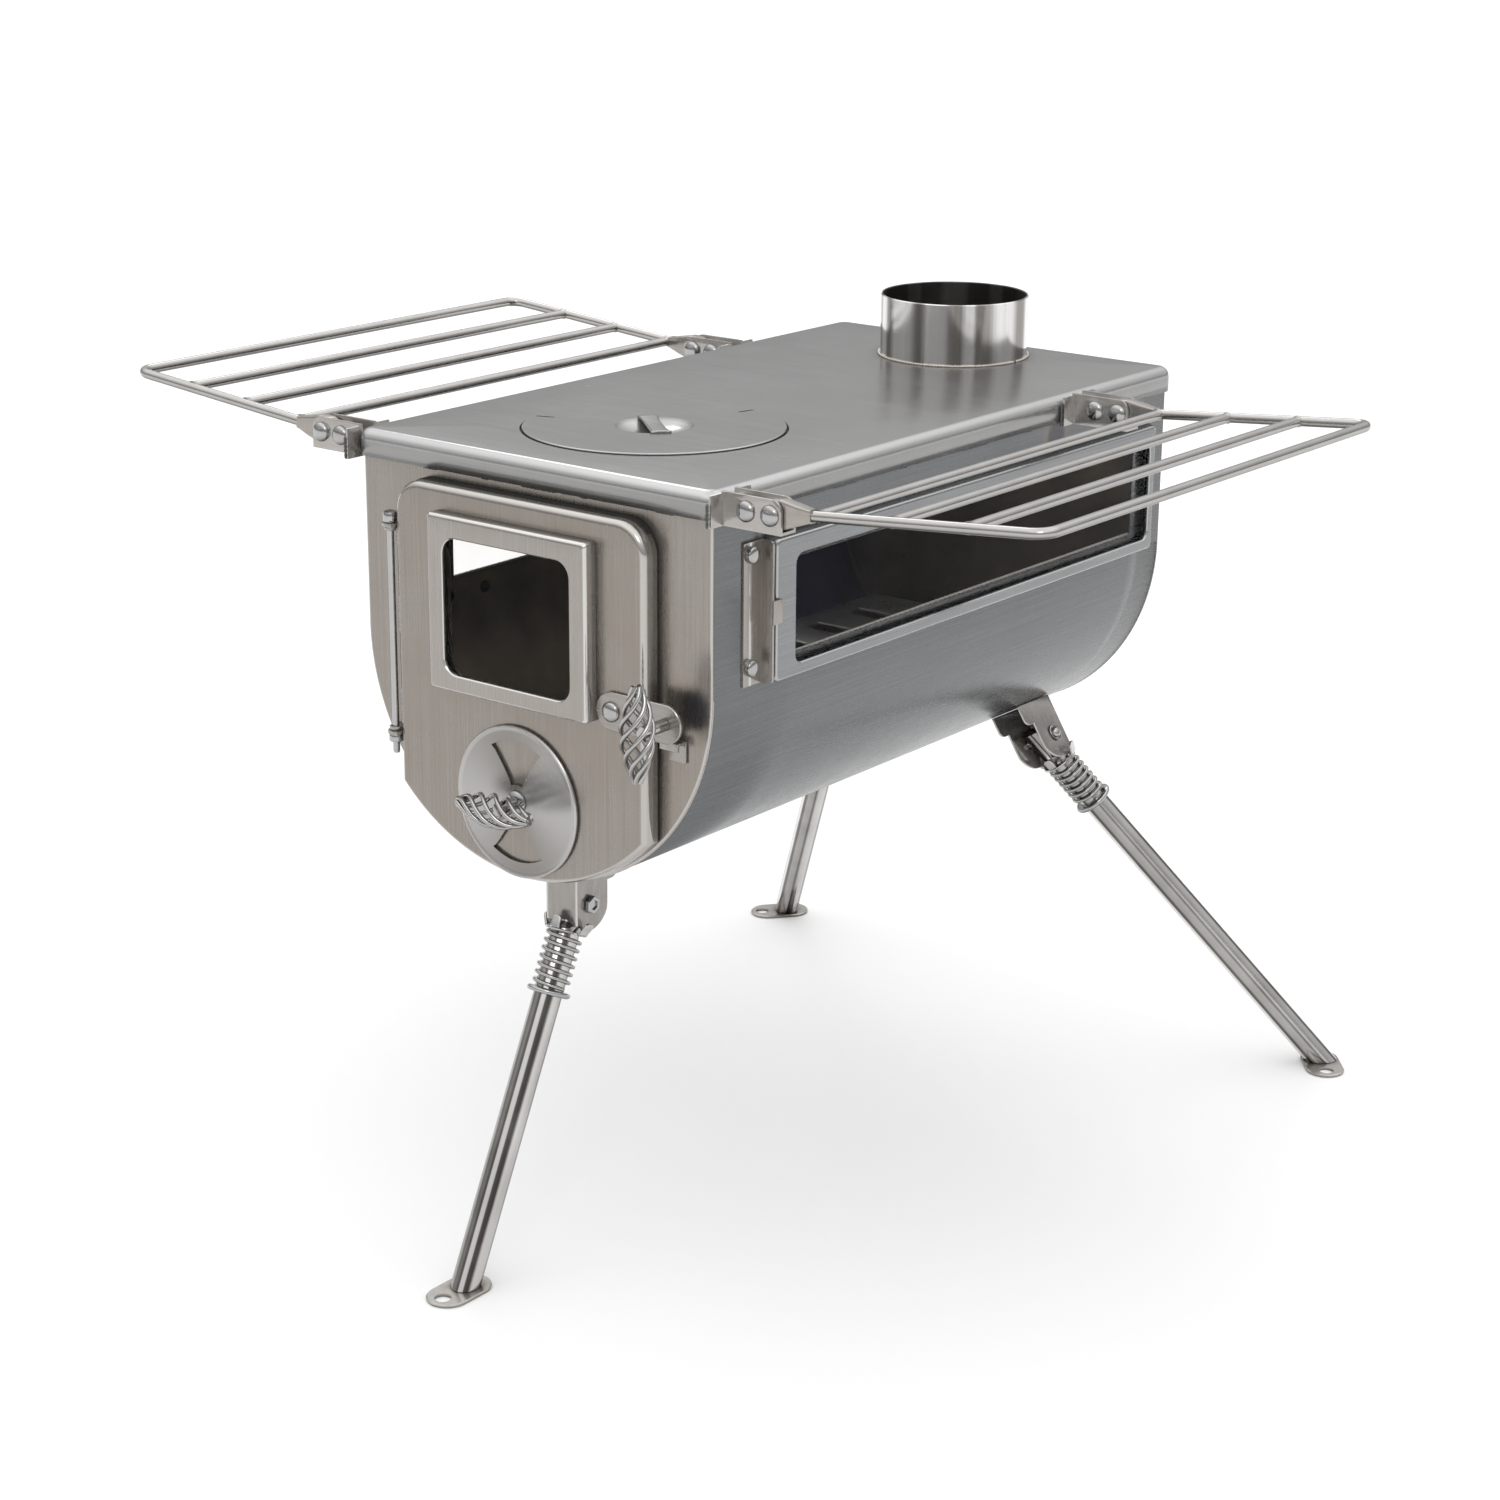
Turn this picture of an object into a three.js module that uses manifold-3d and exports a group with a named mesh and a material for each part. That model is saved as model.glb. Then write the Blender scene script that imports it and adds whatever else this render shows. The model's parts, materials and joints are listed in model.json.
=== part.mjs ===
// Tent wood stove in stainless sheet: a firebox with a barrel bottom on three folding legs, with a
// cooking lid, a flue collar, a glazed door with an air damper, glazed sides and two folding racks.
// Millimetres. +X is the right side seen from the front, the door faces -Y, +Z is up, and the
// ground is Z = 0. The origin lies under the middle of the body.

import * as THREE from 'three';
import { mergeVertices } from 'three/addons/utils/BufferGeometryUtils.js';
import Module from 'manifold-3d';

const wasm = await Module();
wasm.setup();

// ---------------------------------------------------------------- driving dimensions

const clearance = 0.3;          // left between faces that touch

// Firebox
const bodyRadius = 120.2;       // outside radius of the round bottom, and half of the width
const barrelHeight = 342;       // the round bottom's centre above the ground
const bodyLength = 434;         // over the front and back panels
const bodyFront = -bodyLength / 2;
const bodyBack = bodyLength / 2;
const sheet = 1.2;
const panelFlange = 12;         // how far a panel's rim reaches into the wrap

// Top plate
const wallHeight = 108;         // from the round bottom's centre to the plate's top
const plateTop = barrelHeight + wallHeight;
const plateSideLap = 3.5;       // the plate beyond the wrap
const plateEndLap = 3.8;        // and beyond the end panels
const plateHalfWidth = bodyRadius + plateSideLap;
const plateHalfLength = bodyBack + plateEndLap;
const plateSheet = 1.8;
const plateEdge = 4;            // radius of the folded edge
const plateCorner = 7.5;
const skirtHeight = 14.6;
const lidInset = 100;           // the cooking lid's centre behind the front panel
const lidPlace = bodyFront + lidInset;
const lidRadius = 71.5;
const lidSheet = 1.8;
const lidSeam = 0.6;            // open seam round the lid
const ledgeWidth = 6;
const dimpleRadius = 22;
const dimpleDepth = 5;
const gripWidth = 7.5;
const gripTurn = -41;           // degrees, direction of the grip bar across the dimple
const slitLength = 9;
const slitWidth = 1.4;
const slitRadius = 63.5;
const slitTurns = [199, 77];    // degrees round the lid
const flueInset = 49.8;         // the flue collar's centre before the back panel
const fluePlace = bodyBack - flueInset;
const flueRadius = 44.5;
const flueHeight = 36.8;
const flueDepth = 1.8;          // how far the collar reaches below the plate's top
const flueSheet = 1.3;

// Mouth and door
const mouthHalfWidth = 70;
const mouthRim = 18.2;          // the front panel's width below the mouth
const mouthDrop = 37;
const mouthRadius = bodyRadius - mouthRim;
const mouthTop = plateTop - mouthDrop;
const mouthCorner = 12;
const doorSide = 33.7;          // the front panel's width beside the door
const doorRim = 1.2;            // and below it
const doorDrop = 19;            // the door's top below the plate's top
const doorHalfWidth = bodyRadius - doorSide;
const doorRadius = bodyRadius - doorRim;
const doorTop = plateTop - doorDrop;
const doorCorner = 18;
const doorSheet = 1.5;
const doorDepth = 8;
const doorEdge = 3.5;           // radius of the pressed front edge
const sealDepth = 4.2;
const sealWidth = 7;
const doorFrameSide = 31.5;     // the door's width beside its window frame
const doorFrameDrop = 13.8;     // and above it
const doorFrameHeight = 95.4;
const doorFrameHalfWidth = doorHalfWidth - doorFrameSide;
const doorFrameTop = doorTop - doorFrameDrop;
const doorFrameBottom = doorFrameTop - doorFrameHeight;
const doorFrameDepth = 9;
const doorFrameCorner = 3;
const frameSideRim = 11;        // the frame's width beside, above and below the sight opening
const frameTopRim = 11.7;
const frameBottomRim = 9.2;
const doorSightHalfWidth = doorFrameHalfWidth - frameSideRim;
const doorSightTop = doorFrameTop - frameTopRim;
const doorSightBottom = doorFrameBottom + frameBottomRim;
const doorSightCorner = 9;
const glassThickness = 4;

// Hinge
const hingeSide = 5.3;          // hinge axis beside the door
const hingeX = -doorHalfWidth - hingeSide;
const hingeOut = 10.3;          // hinge axis in front of the front panel
const hingeFall = 56;           // the hinge's ends below and above the round bottom's centre
const hingeRise = 62;
const hingeBottom = barrelHeight - hingeFall;
const hingeTop = barrelHeight + hingeRise;
const hingeRodRadius = 1.9;
const hingeRodTail = 11;        // threaded end below the lower ear
const hingeEar = 2;
const hingeLeafSheet = 1.2;
const hingeEarRadius = 3.5;
const nutRadius = 3.9;
const nutHeight = 3.6;

// Latch
const latchInset = 20;          // latch rivet inside the door's edge
const latchRise = 8;            // and above the window frame's bottom
const latchX = doorHalfWidth - latchInset;
const latchHeight = doorFrameBottom + latchRise;
const latchReach = 35.2;
const latchWidth = 20.6;
const latchThickness = 2;
const studRadius = 3.3;
const latchStandoff = 21;
const latchRivetHead = 5.4;
const latchRivetHeight = 2.6;
const keeperDepth = 8;
const keeperHeight = 12;
const keeperWidth = 12;

// Damper
const damperDrop = 75.2;        // damper below the round bottom's centre
const damperHeight = barrelHeight - damperDrop;
const damperRadius = 42;
const damperThickness = 1.5;
const damperPortRadius = 35;
const damperPortHalfAngle = 38; // degrees
const damperHub = 8.5;
const damperStandoff = 18;

// Cage handles
const cageLength = 50;
const cageRadius = 8;
const cageWire = 1.15;          // radius of one wire
const cageWires = 6;
const cageTwist = 300;          // degrees from end to end
const cageNeck = 2.5;           // radius of the bundle at the ends
const cageCore = 1.3;
const cageCap = 4;              // length of the bundle's closed ends

// Side windows
const windowFrontInset = 41;
const windowBackInset = 20;
const windowDrop = 30;          // the frame's top below the plate's top
const windowFront = bodyFront + windowFrontInset;
const windowBack = bodyBack - windowBackInset;
const windowBottom = barrelHeight;
const windowTop = plateTop - windowDrop;
const windowDepth = 8;
const windowSlope = 2;          // the frame's edge leans in by this over its depth
const sightFront = 18;          // widths of the frame round the sight opening
const sightBack = 7;
const sightBottom = 8;
const sightTop = 12;
const sightCorner = 5;
const wrapLap = 8;              // the wrap reaches this far into the sight opening, front and back
const wrapSill = 4;             // and this far at its bottom and top
const clipSheet = 1.5;
const clipGap = 2;              // between the clip's web and the frame
const clipWidth = 16;
const clipOverlap = 4;          // the clip's tab over the frame
const clipTabHeight = 12.5;
const clipScrew = 4.4;

// Racks
const rackFrontInset = 8;       // the cross rods inside the body's ends
const rackBackInset = 105;
const rackPivotOut = 30.6;      // the pivots beside the plate
const rackPivotDrop = 7.5;
const rackFront = bodyFront + rackFrontInset;
const rackBack = bodyBack - rackBackInset;
const rackPivotX = plateHalfWidth + rackPivotOut;
const rackPivotHeight = plateTop - rackPivotDrop;
const rackReach = 154.9;        // from the pivot to the outer rod
const rackRod = 2.5;            // radius
const rackPitch = 43.6;         // between the rods that run along the stove
const rackInnerRods = 3;
const rackTilt = 5;             // degrees above level when open
const rackBend = 9;
const bracketSheet = 1.5;
const bracketInside = 9;        // between the cheeks of a rack bracket
const bracketNose = 6.7;        // a rack bracket's outer end beyond the pivot
const bracketReach = rackPivotX + bracketNose;
const bracketHeight = 17.5;
const bracketCorner = 6;
const bracketFlange = 10;       // each flange along the plate's edge
const rivetSpacing = 14.8;
const rivetRadius = 2.4;
const rivetHead = 5.4;
const rivetHeight = 3;
const armRadius = 7.6;
const armLength = 22;
const armHeel = 11;             // length of the flat that rests on the bracket's floor
const armShoulder = 6;          // where the arm's top starts to slope

// Legs
const legRadius = 8;
const legWall = 1;
const frontLegInset = 30.7;     // the pivots inside the body's ends
const rearLegInset = 55.2;
const frontSplay = 93;          // along Y from a pivot to its foot
const rearSplay = 128.5;
const rearSpread = 95.3;        // the rear feet beside the body
const frontPivotY = bodyFront + frontLegInset;
const frontFootY = frontPivotY - frontSplay;
const rearPivotY = bodyBack - rearLegInset;
const rearFootX = bodyRadius + rearSpread;
const rearFootY = rearPivotY + rearSplay;
const pivotDrop = 23;           // pivot below the barrel's surface
const cheekInside = 9.8;        // half of the gap between a leg bracket's cheeks
const webOut = 10.5;            // outside of the web from the pivot
const webDrop = 10.5;           // lower end of the web below the pivot
const cheekDepth = 25.3;
const cheekTail = 15.8;         // radius of the cheeks' lower ends round the pivot
const cheekTailEnd = 156;       // degrees, where that round ends behind the pivot
const lobeDrop = 13;            // lower side of the cheeks' welded lobes below the barrel
const lobeReach = 8;
const lobeRadius = 4;
const notchHalfWidth = 7.5;
const notchHeight = 3;
const boltRadius = 3;
const boltHead = 5.2;
const boltHeadHeight = 2.6;
const boltNut = 3;
const legTopEnd = 7;            // tube above the pivot
const crimpEnd = 12.5;          // the tube is pressed flat to here, then grows round
const roundStart = 16.8;
const crimpHalf = 4.5;
const crimpHalfWidth = 9.3;
const collarPlace = 17;         // lock collar's upper face below the pivot
const collarSheet = 1.5;
const collarRing = 10.8;        // outside radius of the collar's plate
const collarPlay = 0.9;         // between the cheeks and the fingers beside them
const collarTab = 7;
const collarFinger = 2.8;       // half of a finger's width
const collarInner = 9.5;        // from the tube's axis to a finger beside the web
const springLength = 31;
const springCurls = 6.5;
const springWire = 0.95;
const ringOuter = 12.3;
const ringThickness = 2.6;
const ringRounding = 0.7;
const footLength = 41;
const footWidth = 24;
const footThickness = 2;
const footHeel = 15.4;          // foot plate behind the tube's axis
const footHole = 4.7;
const footHoleReach = 17.8;
const rearFootTurn = 40;        // degrees, toe turned out from straight ahead

// Grate
const grateDrop = 61;           // grate below the round bottom's centre
const grateInset = 21;          // its ends inside the panels
const grateHeight = barrelHeight - grateDrop;
const grateHalfWidth = 76;
const grateHalfLength = bodyBack - grateInset;
const grateSheet = 2;
const grateSlots = 8;
const grateSlotWidth = 14;
const grateSlotInner = 9;
const grateSlotOuter = 62;

// ---------------------------------------------------------------- derived dimensions

const plateUnder = plateTop - plateSheet;
const wrapTop = plateUnder - clearance;
const skirtBottom = plateTop - skirtHeight;
const doorBack = bodyFront - sealDepth - 2 * clearance;
const doorFace = doorBack - doorDepth;
const doorFrameFace = doorFace - doorFrameDepth;
const hingeY = bodyFront - hingeOut;
const rad = THREE.MathUtils.degToRad;

// ---------------------------------------------------------------- finishes

const finish = (color, roughness, metalness) =>
  new THREE.MeshStandardMaterial({ color, roughness, metalness });
const brushed = finish(0x8f8b88, 0.42, 1);
const satin = finish(0x9b9b9c, 0.36, 1);
const bluish = finish(0x85868c, 0.4, 1);
const polished = finish(0xc9c8c6, 0.15, 1);
const dark = finish(0x4b4a4c, 0.6, 0.9);
const glass = finish(0x1a1c22, 0.05, 0);
const rope = finish(0x2b2a29, 0.95, 0);

// ---------------------------------------------------------------- solids

const X = new THREE.Vector3(1, 0, 0);
const Y = new THREE.Vector3(0, 1, 0);
const Z = new THREE.Vector3(0, 0, 1);

/** A geometry as a solid that can be cut and joined. */
function solid(geometry) {
  const bare = geometry.clone();
  bare.deleteAttribute('normal');
  bare.deleteAttribute('uv');
  const merged = mergeVertices(bare, 1e-4);
  const mesh = new wasm.Mesh({
    numProp: 3,
    vertProperties: new Float32Array(merged.attributes.position.array),
    triVerts: new Uint32Array(merged.index.array),
  });
  return new wasm.Manifold(mesh);
}

/** A solid back as a geometry with its own normals. */
function surface(body) {
  const mesh = body.getMesh();
  const geometry = new THREE.BufferGeometry();
  geometry.setAttribute('position', new THREE.BufferAttribute(mesh.vertProperties, 3));
  geometry.setIndex(new THREE.BufferAttribute(mesh.triVerts, 1));
  geometry.computeVertexNormals();
  return geometry;
}

const join = (...bodies) => bodies.reduce((all, next) => all.add(next));
const cut = (body, ...tools) => tools.reduce((rest, tool) => rest.subtract(tool), body);

/** Turns a geometry so that its x and y axes lie along the given ones, then moves it. */
function lay(geometry, xAxis, yAxis, x = 0, y = 0, z = 0) {
  const zAxis = new THREE.Vector3().crossVectors(xAxis, yAxis);
  const matrix = new THREE.Matrix4().makeBasis(xAxis, yAxis, zAxis).setPosition(x, y, z);
  return geometry.applyMatrix4(matrix);
}

/** A flat shape with a straight wall of the given depth along its own z axis. */
const extruded = (shape, depth, options) => new THREE.ExtrudeGeometry(shape, {
  depth, bevelEnabled: false, curveSegments: 4, ...options,
});

/** A shape drawn in X and Z, from the plane Y = back towards -Y by depth. */
function alongY(shape, back, depth, options) {
  return solid(lay(extruded(shape, depth, options), X, Z, 0, back, 0));
}

/** A shape drawn in Y and Z, from the plane X = start towards +X by depth. */
function alongX(shape, start, depth, options) {
  return solid(lay(extruded(shape, depth, options), Y, Z, start, 0, 0));
}

/** A shape drawn in X and Y, from the plane Z = start upwards by depth. */
function alongZ(shape, start, depth, options) {
  return solid(extruded(shape, depth, options).translate(0, 0, start));
}

/** A box between two corners. */
function box(x0, y0, z0, x1, y1, z1) {
  const geometry = new THREE.BoxGeometry(x1 - x0, y1 - y0, z1 - z0);
  return solid(geometry.translate((x0 + x1) / 2, (y0 + y1) / 2, (z0 + z1) / 2));
}

/** A profile of [radius, height] points turned round a line along the given axis. */
function turned(profile, axis, centre, segments = 24) {
  const points = profile.map(([r, h]) => new THREE.Vector2(r, h));
  const geometry = new THREE.LatheGeometry(points, segments);
  const side = Math.abs(axis.z) > 0.5 ? X : Z;
  return solid(lay(geometry, side, axis, ...centre));
}

/** A full cylinder from the centre along an axis, to height. */
const bar = (radius, height, axis, centre, segments = 8) =>
  turned([[0, 0], [radius, 0], [radius, height], [0, height]], axis, centre, segments);

/** A domed rivet head that stands on the plane through its centre. */
function dome(radius, height, axis, centre) {
  const steps = 3;
  const profile = [[0, 0], [radius, 0]];
  for (let i = 1; i < steps; i++) {
    const turn = (i / steps) * Math.PI / 2;
    profile.push([radius * Math.cos(turn), height * Math.sin(turn)]);
  }
  profile.push([0, height]);
  return turned(profile, axis, centre, 9);
}

/** A polyline as a curve whose steps fall on its points. */
class Route extends THREE.Curve {
  constructor(points) {
    super();
    this.points = points;
  }

  getPoint(t) {
    const last = this.points.length - 1;
    const place = Math.min(t * last, last);
    const from = Math.min(Math.floor(place + 1e-9), last - 1);
    return this.points[from].clone().lerp(this.points[from + 1], place - from);
  }

  getPointAt(u) {
    return this.getPoint(u);
  }

  getTangentAt(u) {
    const last = this.points.length - 1;
    const at = Math.round(u * last);
    const before = this.points[Math.max(at - 1, 0)];
    const after = this.points[Math.min(at + 1, last)];
    return after.clone().sub(before).normalize();
  }
}

/** Round wire or rod along a list of points. */
function rod(points, radius, sides) {
  const section = new THREE.Shape();
  for (let i = 0; i < sides; i++) {
    const turn = (i / sides) * 2 * Math.PI;
    const place = [radius * Math.cos(turn), radius * Math.sin(turn)];
    if (i === 0) section.moveTo(...place);
    else section.lineTo(...place);
  }
  const route = new Route(points);
  return solid(new THREE.ExtrudeGeometry(section, {
    steps: points.length - 1, extrudePath: route, bevelEnabled: false,
  }));
}

// ---------------------------------------------------------------- outlines

/** A rectangle with round corners. */
function roundedRect(x0, y0, x1, y1, radius) {
  const shape = new THREE.Shape();
  shape.moveTo(x0 + radius, y0);
  shape.lineTo(x1 - radius, y0);
  shape.absarc(x1 - radius, y0 + radius, radius, -Math.PI / 2, 0);
  shape.lineTo(x1, y1 - radius);
  shape.absarc(x1 - radius, y1 - radius, radius, 0, Math.PI / 2);
  shape.lineTo(x0 + radius, y1);
  shape.absarc(x0 + radius, y1 - radius, radius, Math.PI / 2, Math.PI);
  shape.lineTo(x0, y0 + radius);
  shape.absarc(x0 + radius, y0 + radius, radius, Math.PI, 1.5 * Math.PI);
  return shape;
}

/** Straight sides and a bottom concentric with the barrel: the firebox, its mouth and its door. */
function barrelOutline(halfWidth, radius, top, corner) {
  const side = Math.acos(Math.min(halfWidth / radius, 1));
  const shape = new THREE.Shape();
  shape.moveTo(-halfWidth, top - corner);
  shape.absarc(0, barrelHeight, radius, Math.PI + side, 2 * Math.PI - side);
  shape.lineTo(halfWidth, top - corner);
  if (corner > 0) shape.absarc(halfWidth - corner, top - corner, corner, 0, Math.PI / 2);
  shape.lineTo(-halfWidth + corner, top);
  if (corner > 0) shape.absarc(-halfWidth + corner, top - corner, corner, Math.PI / 2, Math.PI);
  return shape;
}

/** A stadium: two half circles joined by straight sides, between two centres on the x axis. */
function stadium(x0, x1, radius) {
  const shape = new THREE.Shape();
  shape.absarc(x1, 0, radius, -Math.PI / 2, Math.PI / 2);
  shape.absarc(x0, 0, radius, Math.PI / 2, 1.5 * Math.PI);
  return shape;
}

/** A ring sector round a middle direction, for the damper's ports. */
function sector(inner, outer, middle, halfAngle) {
  const shape = new THREE.Shape();
  shape.absarc(0, 0, outer, middle - halfAngle, middle + halfAngle);
  shape.absarc(0, 0, inner, middle + halfAngle, middle - halfAngle, true);
  return shape;
}

// ---------------------------------------------------------------- the scene graph

const stove = new THREE.Group();

function part(name, body, material, parent = stove) {
  const mesh = new THREE.Mesh(surface(body), material.clone());
  mesh.name = name;
  parent.add(mesh);
  return mesh;
}

// ---------------------------------------------------------------- firebox

/** One sheet bent round the sides and the bottom, with an opening for the window on each side. */
function fireboxWrap() {
  const inside = bodyRadius - sheet;
  const section = new THREE.Shape();
  section.moveTo(bodyRadius, wrapTop);
  section.lineTo(inside, wrapTop);
  section.absarc(0, barrelHeight, inside, 0, -Math.PI, true);
  section.lineTo(-inside, wrapTop);
  section.lineTo(-bodyRadius, wrapTop);
  section.absarc(0, barrelHeight, bodyRadius, -Math.PI, 0);
  const length = bodyLength - 2 * (sheet + clearance);
  const wrap = alongY(section, length / 2, length, { curveSegments: 18 });
  const opening = alongX(windowHole(wrapLap, wrapSill), -2 * bodyRadius, 4 * bodyRadius);
  return cut(wrap, opening);
}

/** A panel that closes one end of the wrap, with a rim that fits inside it. */
function endPanel(end) {
  const outside = barrelOutline(bodyRadius, bodyRadius, wrapTop, 0);
  const faceBack = end > 0 ? bodyBack : bodyFront + sheet;
  const face = alongY(outside, faceBack, sheet, { curveSegments: 18 });
  const fit = bodyRadius - sheet - clearance;
  const outer = barrelOutline(fit, fit, wrapTop - sheet, 0);
  const inner = barrelOutline(fit - sheet, fit - sheet, wrapTop - 2 * sheet, 0);
  const rimBack = end > 0 ? bodyBack - sheet / 2 : bodyFront + panelFlange;
  const rimDepth = panelFlange - sheet / 2;
  const rim = cut(
    alongY(outer, rimBack, rimDepth, { curveSegments: 18 }),
    alongY(inner, rimBack + 1, rimDepth + 2, { curveSegments: 18 }),
  );
  return join(face, rim);
}

function frontPanel() {
  const mouth = barrelOutline(mouthHalfWidth, mouthRadius, mouthTop, mouthCorner);
  return cut(endPanel(-1), alongY(mouth, bodyFront + panelFlange, 2 * panelFlange));
}

/** The plate that everything is cooked on: folded edges, a stepped lid seat and the flue hole. */
function topPlate() {
  const outline = roundedRect(
    -plateHalfWidth + plateEdge, -plateHalfLength + plateEdge,
    plateHalfWidth - plateEdge, plateHalfLength - plateEdge, plateCorner - plateEdge,
  );
  const block = alongZ(outline, skirtBottom - plateEdge, skirtHeight, {
    bevelEnabled: true, bevelThickness: plateEdge, bevelSize: plateEdge, bevelSegments: 2, curveSegments: 3,
  });
  const inset = plateSheet;
  const hollow = alongZ(roundedRect(
    -plateHalfWidth + inset, -plateHalfLength + inset,
    plateHalfWidth - inset, plateHalfLength - inset, plateCorner - inset,
  ), skirtBottom - 2 * plateEdge, plateUnder - skirtBottom + 2 * plateEdge);
  const below = box(
    -2 * plateHalfWidth, -2 * plateHalfLength, skirtBottom - 3 * plateEdge,
    2 * plateHalfWidth, 2 * plateHalfLength, skirtBottom,
  );
  const seatRadius = lidRadius + lidSeam;
  const seatDepth = lidSheet + clearance;
  const ledgeUnder = plateTop - seatDepth - plateSheet;
  const seatWall = turned([
    [seatRadius - ledgeWidth, ledgeUnder], [seatRadius + plateSheet, ledgeUnder],
    [seatRadius + plateSheet, plateUnder + 0.1], [seatRadius - ledgeWidth, plateUnder + 0.1],
    [seatRadius - ledgeWidth, ledgeUnder],
  ], Z, [0, lidPlace, 0], 28);
  const seatHollow = bar(seatRadius, seatDepth + 1, Z, [0, lidPlace, plateTop - seatDepth], 28);
  const lidHole = bar(seatRadius - ledgeWidth, 4 * plateSheet, Z, [0, lidPlace, ledgeUnder - 1], 28);
  const flueHole = bar(flueRadius + clearance, 4 * plateSheet, Z, [0, fluePlace, plateUnder - 1], 28);
  return cut(join(cut(block, hollow, below), seatWall), seatHollow, lidHole, flueHole);
}

/** A straight rolled tube that the flue pipe slides onto. */
function flueCollar() {
  const bottom = plateTop - flueDepth;
  const top = plateTop + flueHeight;
  const inner = flueRadius - flueSheet;
  return turned([
    [inner, bottom], [flueRadius, bottom], [flueRadius, top], [inner, top], [inner, bottom],
  ], Z, [0, fluePlace, 0], 28);
}

/** The cooking lid: a disc with a pressed dimple, a grip bar across it and two spring slits. */
function cookLid() {
  const top = plateTop;
  const under = top - lidSheet;
  const floor = top - dimpleDepth;
  const flat = dimpleRadius * 0.45;
  const knee = dimpleRadius * 0.8;
  const disc = turned([
    [0, floor - lidSheet], [flat, floor - lidSheet], [knee, floor - 0.3 * lidSheet],
    [dimpleRadius + lidSheet, under], [lidRadius, under], [lidRadius, top], [dimpleRadius, top],
    [knee, top - 0.55 * dimpleDepth], [flat, floor], [0, floor],
  ], Z, [0, lidPlace, 0], 28);
  const slits = slitTurns.map((turn) => {
    const slit = new THREE.BoxGeometry(slitLength, slitWidth, 4 * lidSheet);
    slit.translate(slitRadius, 0, top).rotateZ(rad(turn)).translate(0, lidPlace, 0);
    return solid(slit);
  });
  const grip = new THREE.BoxGeometry(2 * dimpleRadius, gripWidth, lidSheet);
  grip.translate(0, 0, top - lidSheet / 2).rotateZ(rad(gripTurn)).translate(0, lidPlace, 0);
  return cut(join(disc, solid(grip)), ...slits);
}

/** A flat sheet with two rows of cross slots. */
function grate() {
  const side = grateHalfWidth;
  const plate = box(
    -side, -grateHalfLength, grateHeight - grateSheet, side, grateHalfLength, grateHeight,
  );
  const pitch = (2 * grateHalfLength) / (grateSlots + 1);
  const slots = [];
  for (let i = 1; i <= grateSlots; i++) {
    const y = -grateHalfLength + i * pitch;
    for (const hand of [-1, 1]) {
      const inner = hand * grateSlotInner;
      const outer = hand * grateSlotOuter;
      slots.push(box(
        Math.min(inner, outer), y - grateSlotWidth / 2, grateHeight - 2 * grateSheet,
        Math.max(inner, outer), y + grateSlotWidth / 2, grateHeight + grateSheet,
      ));
    }
  }
  return cut(plate, ...slots);
}

/** A strip on edge under the grate's right side, which stands in the round bottom. */
function grateRail() {
  const reach = bodyRadius - sheet - 2 * clearance;
  const sole = barrelHeight - Math.sqrt(reach ** 2 - grateHalfWidth ** 2);
  return box(
    grateHalfWidth - grateSheet, -grateHalfLength, sole,
    grateHalfWidth, grateHalfLength, grateHeight - grateSheet - clearance,
  );
}

/** A copy mirrored to the left side, with its faces turned out again. */
const mirrored = (body) => body.mirror([1, 0, 0]);
const sides = [['right', (body) => body], ['left', mirrored]];

part('firebox_wrap', fireboxWrap(), bluish);
part('front_panel', frontPanel(), brushed);
part('back_panel', endPanel(1), brushed);
part('top_plate', topPlate(), satin);
part('flue_collar', flueCollar(), polished);
part('cook_lid', cookLid(), satin);
part('fire_grate', grate(), dark);
for (const [side, hand] of sides) part(`grate_rail_${side}`, hand(grateRail()), dark);

// ---------------------------------------------------------------- door

/** A pressed pan with a window opening and two air ports that the damper covers. */
function doorShell() {
  const edge = doorEdge;
  const press = barrelOutline(doorHalfWidth - edge, doorRadius - edge, doorTop - edge, doorCorner - edge);
  const block = alongY(press, doorBack + edge, doorDepth, {
    bevelEnabled: true, bevelThickness: edge, bevelSize: edge, bevelSegments: 2, curveSegments: 7,
  });
  const behind = box(
    -2 * doorHalfWidth, doorBack, 0, 2 * doorHalfWidth, doorBack + 3 * edge, 2 * doorTop,
  );
  const t = doorSheet;
  const cavity = barrelOutline(doorHalfWidth - t, doorRadius - t, doorTop - t, doorCorner - t);
  const hollow = alongY(cavity, doorBack + 1, doorDepth - t + 1, { curveSegments: 7 });
  const sight = alongY(roundedRect(
    -doorSightHalfWidth - 2, doorSightBottom - 2, doorSightHalfWidth + 2, doorSightTop + 2, doorSightCorner,
  ), doorBack, 2 * doorDepth);
  const ports = [0, Math.PI].map((turn) => alongY(
    sector(damperHub, damperPortRadius, turn, rad(damperPortHalfAngle)), doorBack, 2 * doorDepth,
  ).translate([0, 0, damperHeight]));
  const studHole = bar(studRadius + clearance, 2 * doorDepth, Y, [0, doorFace - 2, damperHeight]);
  const rivetHole = bar(studRadius + clearance, 2 * doorDepth, Y, [latchX, doorFace - 2, latchHeight]);
  return cut(block, behind, hollow, sight, ...ports, studHole, rivetHole);
}

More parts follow.
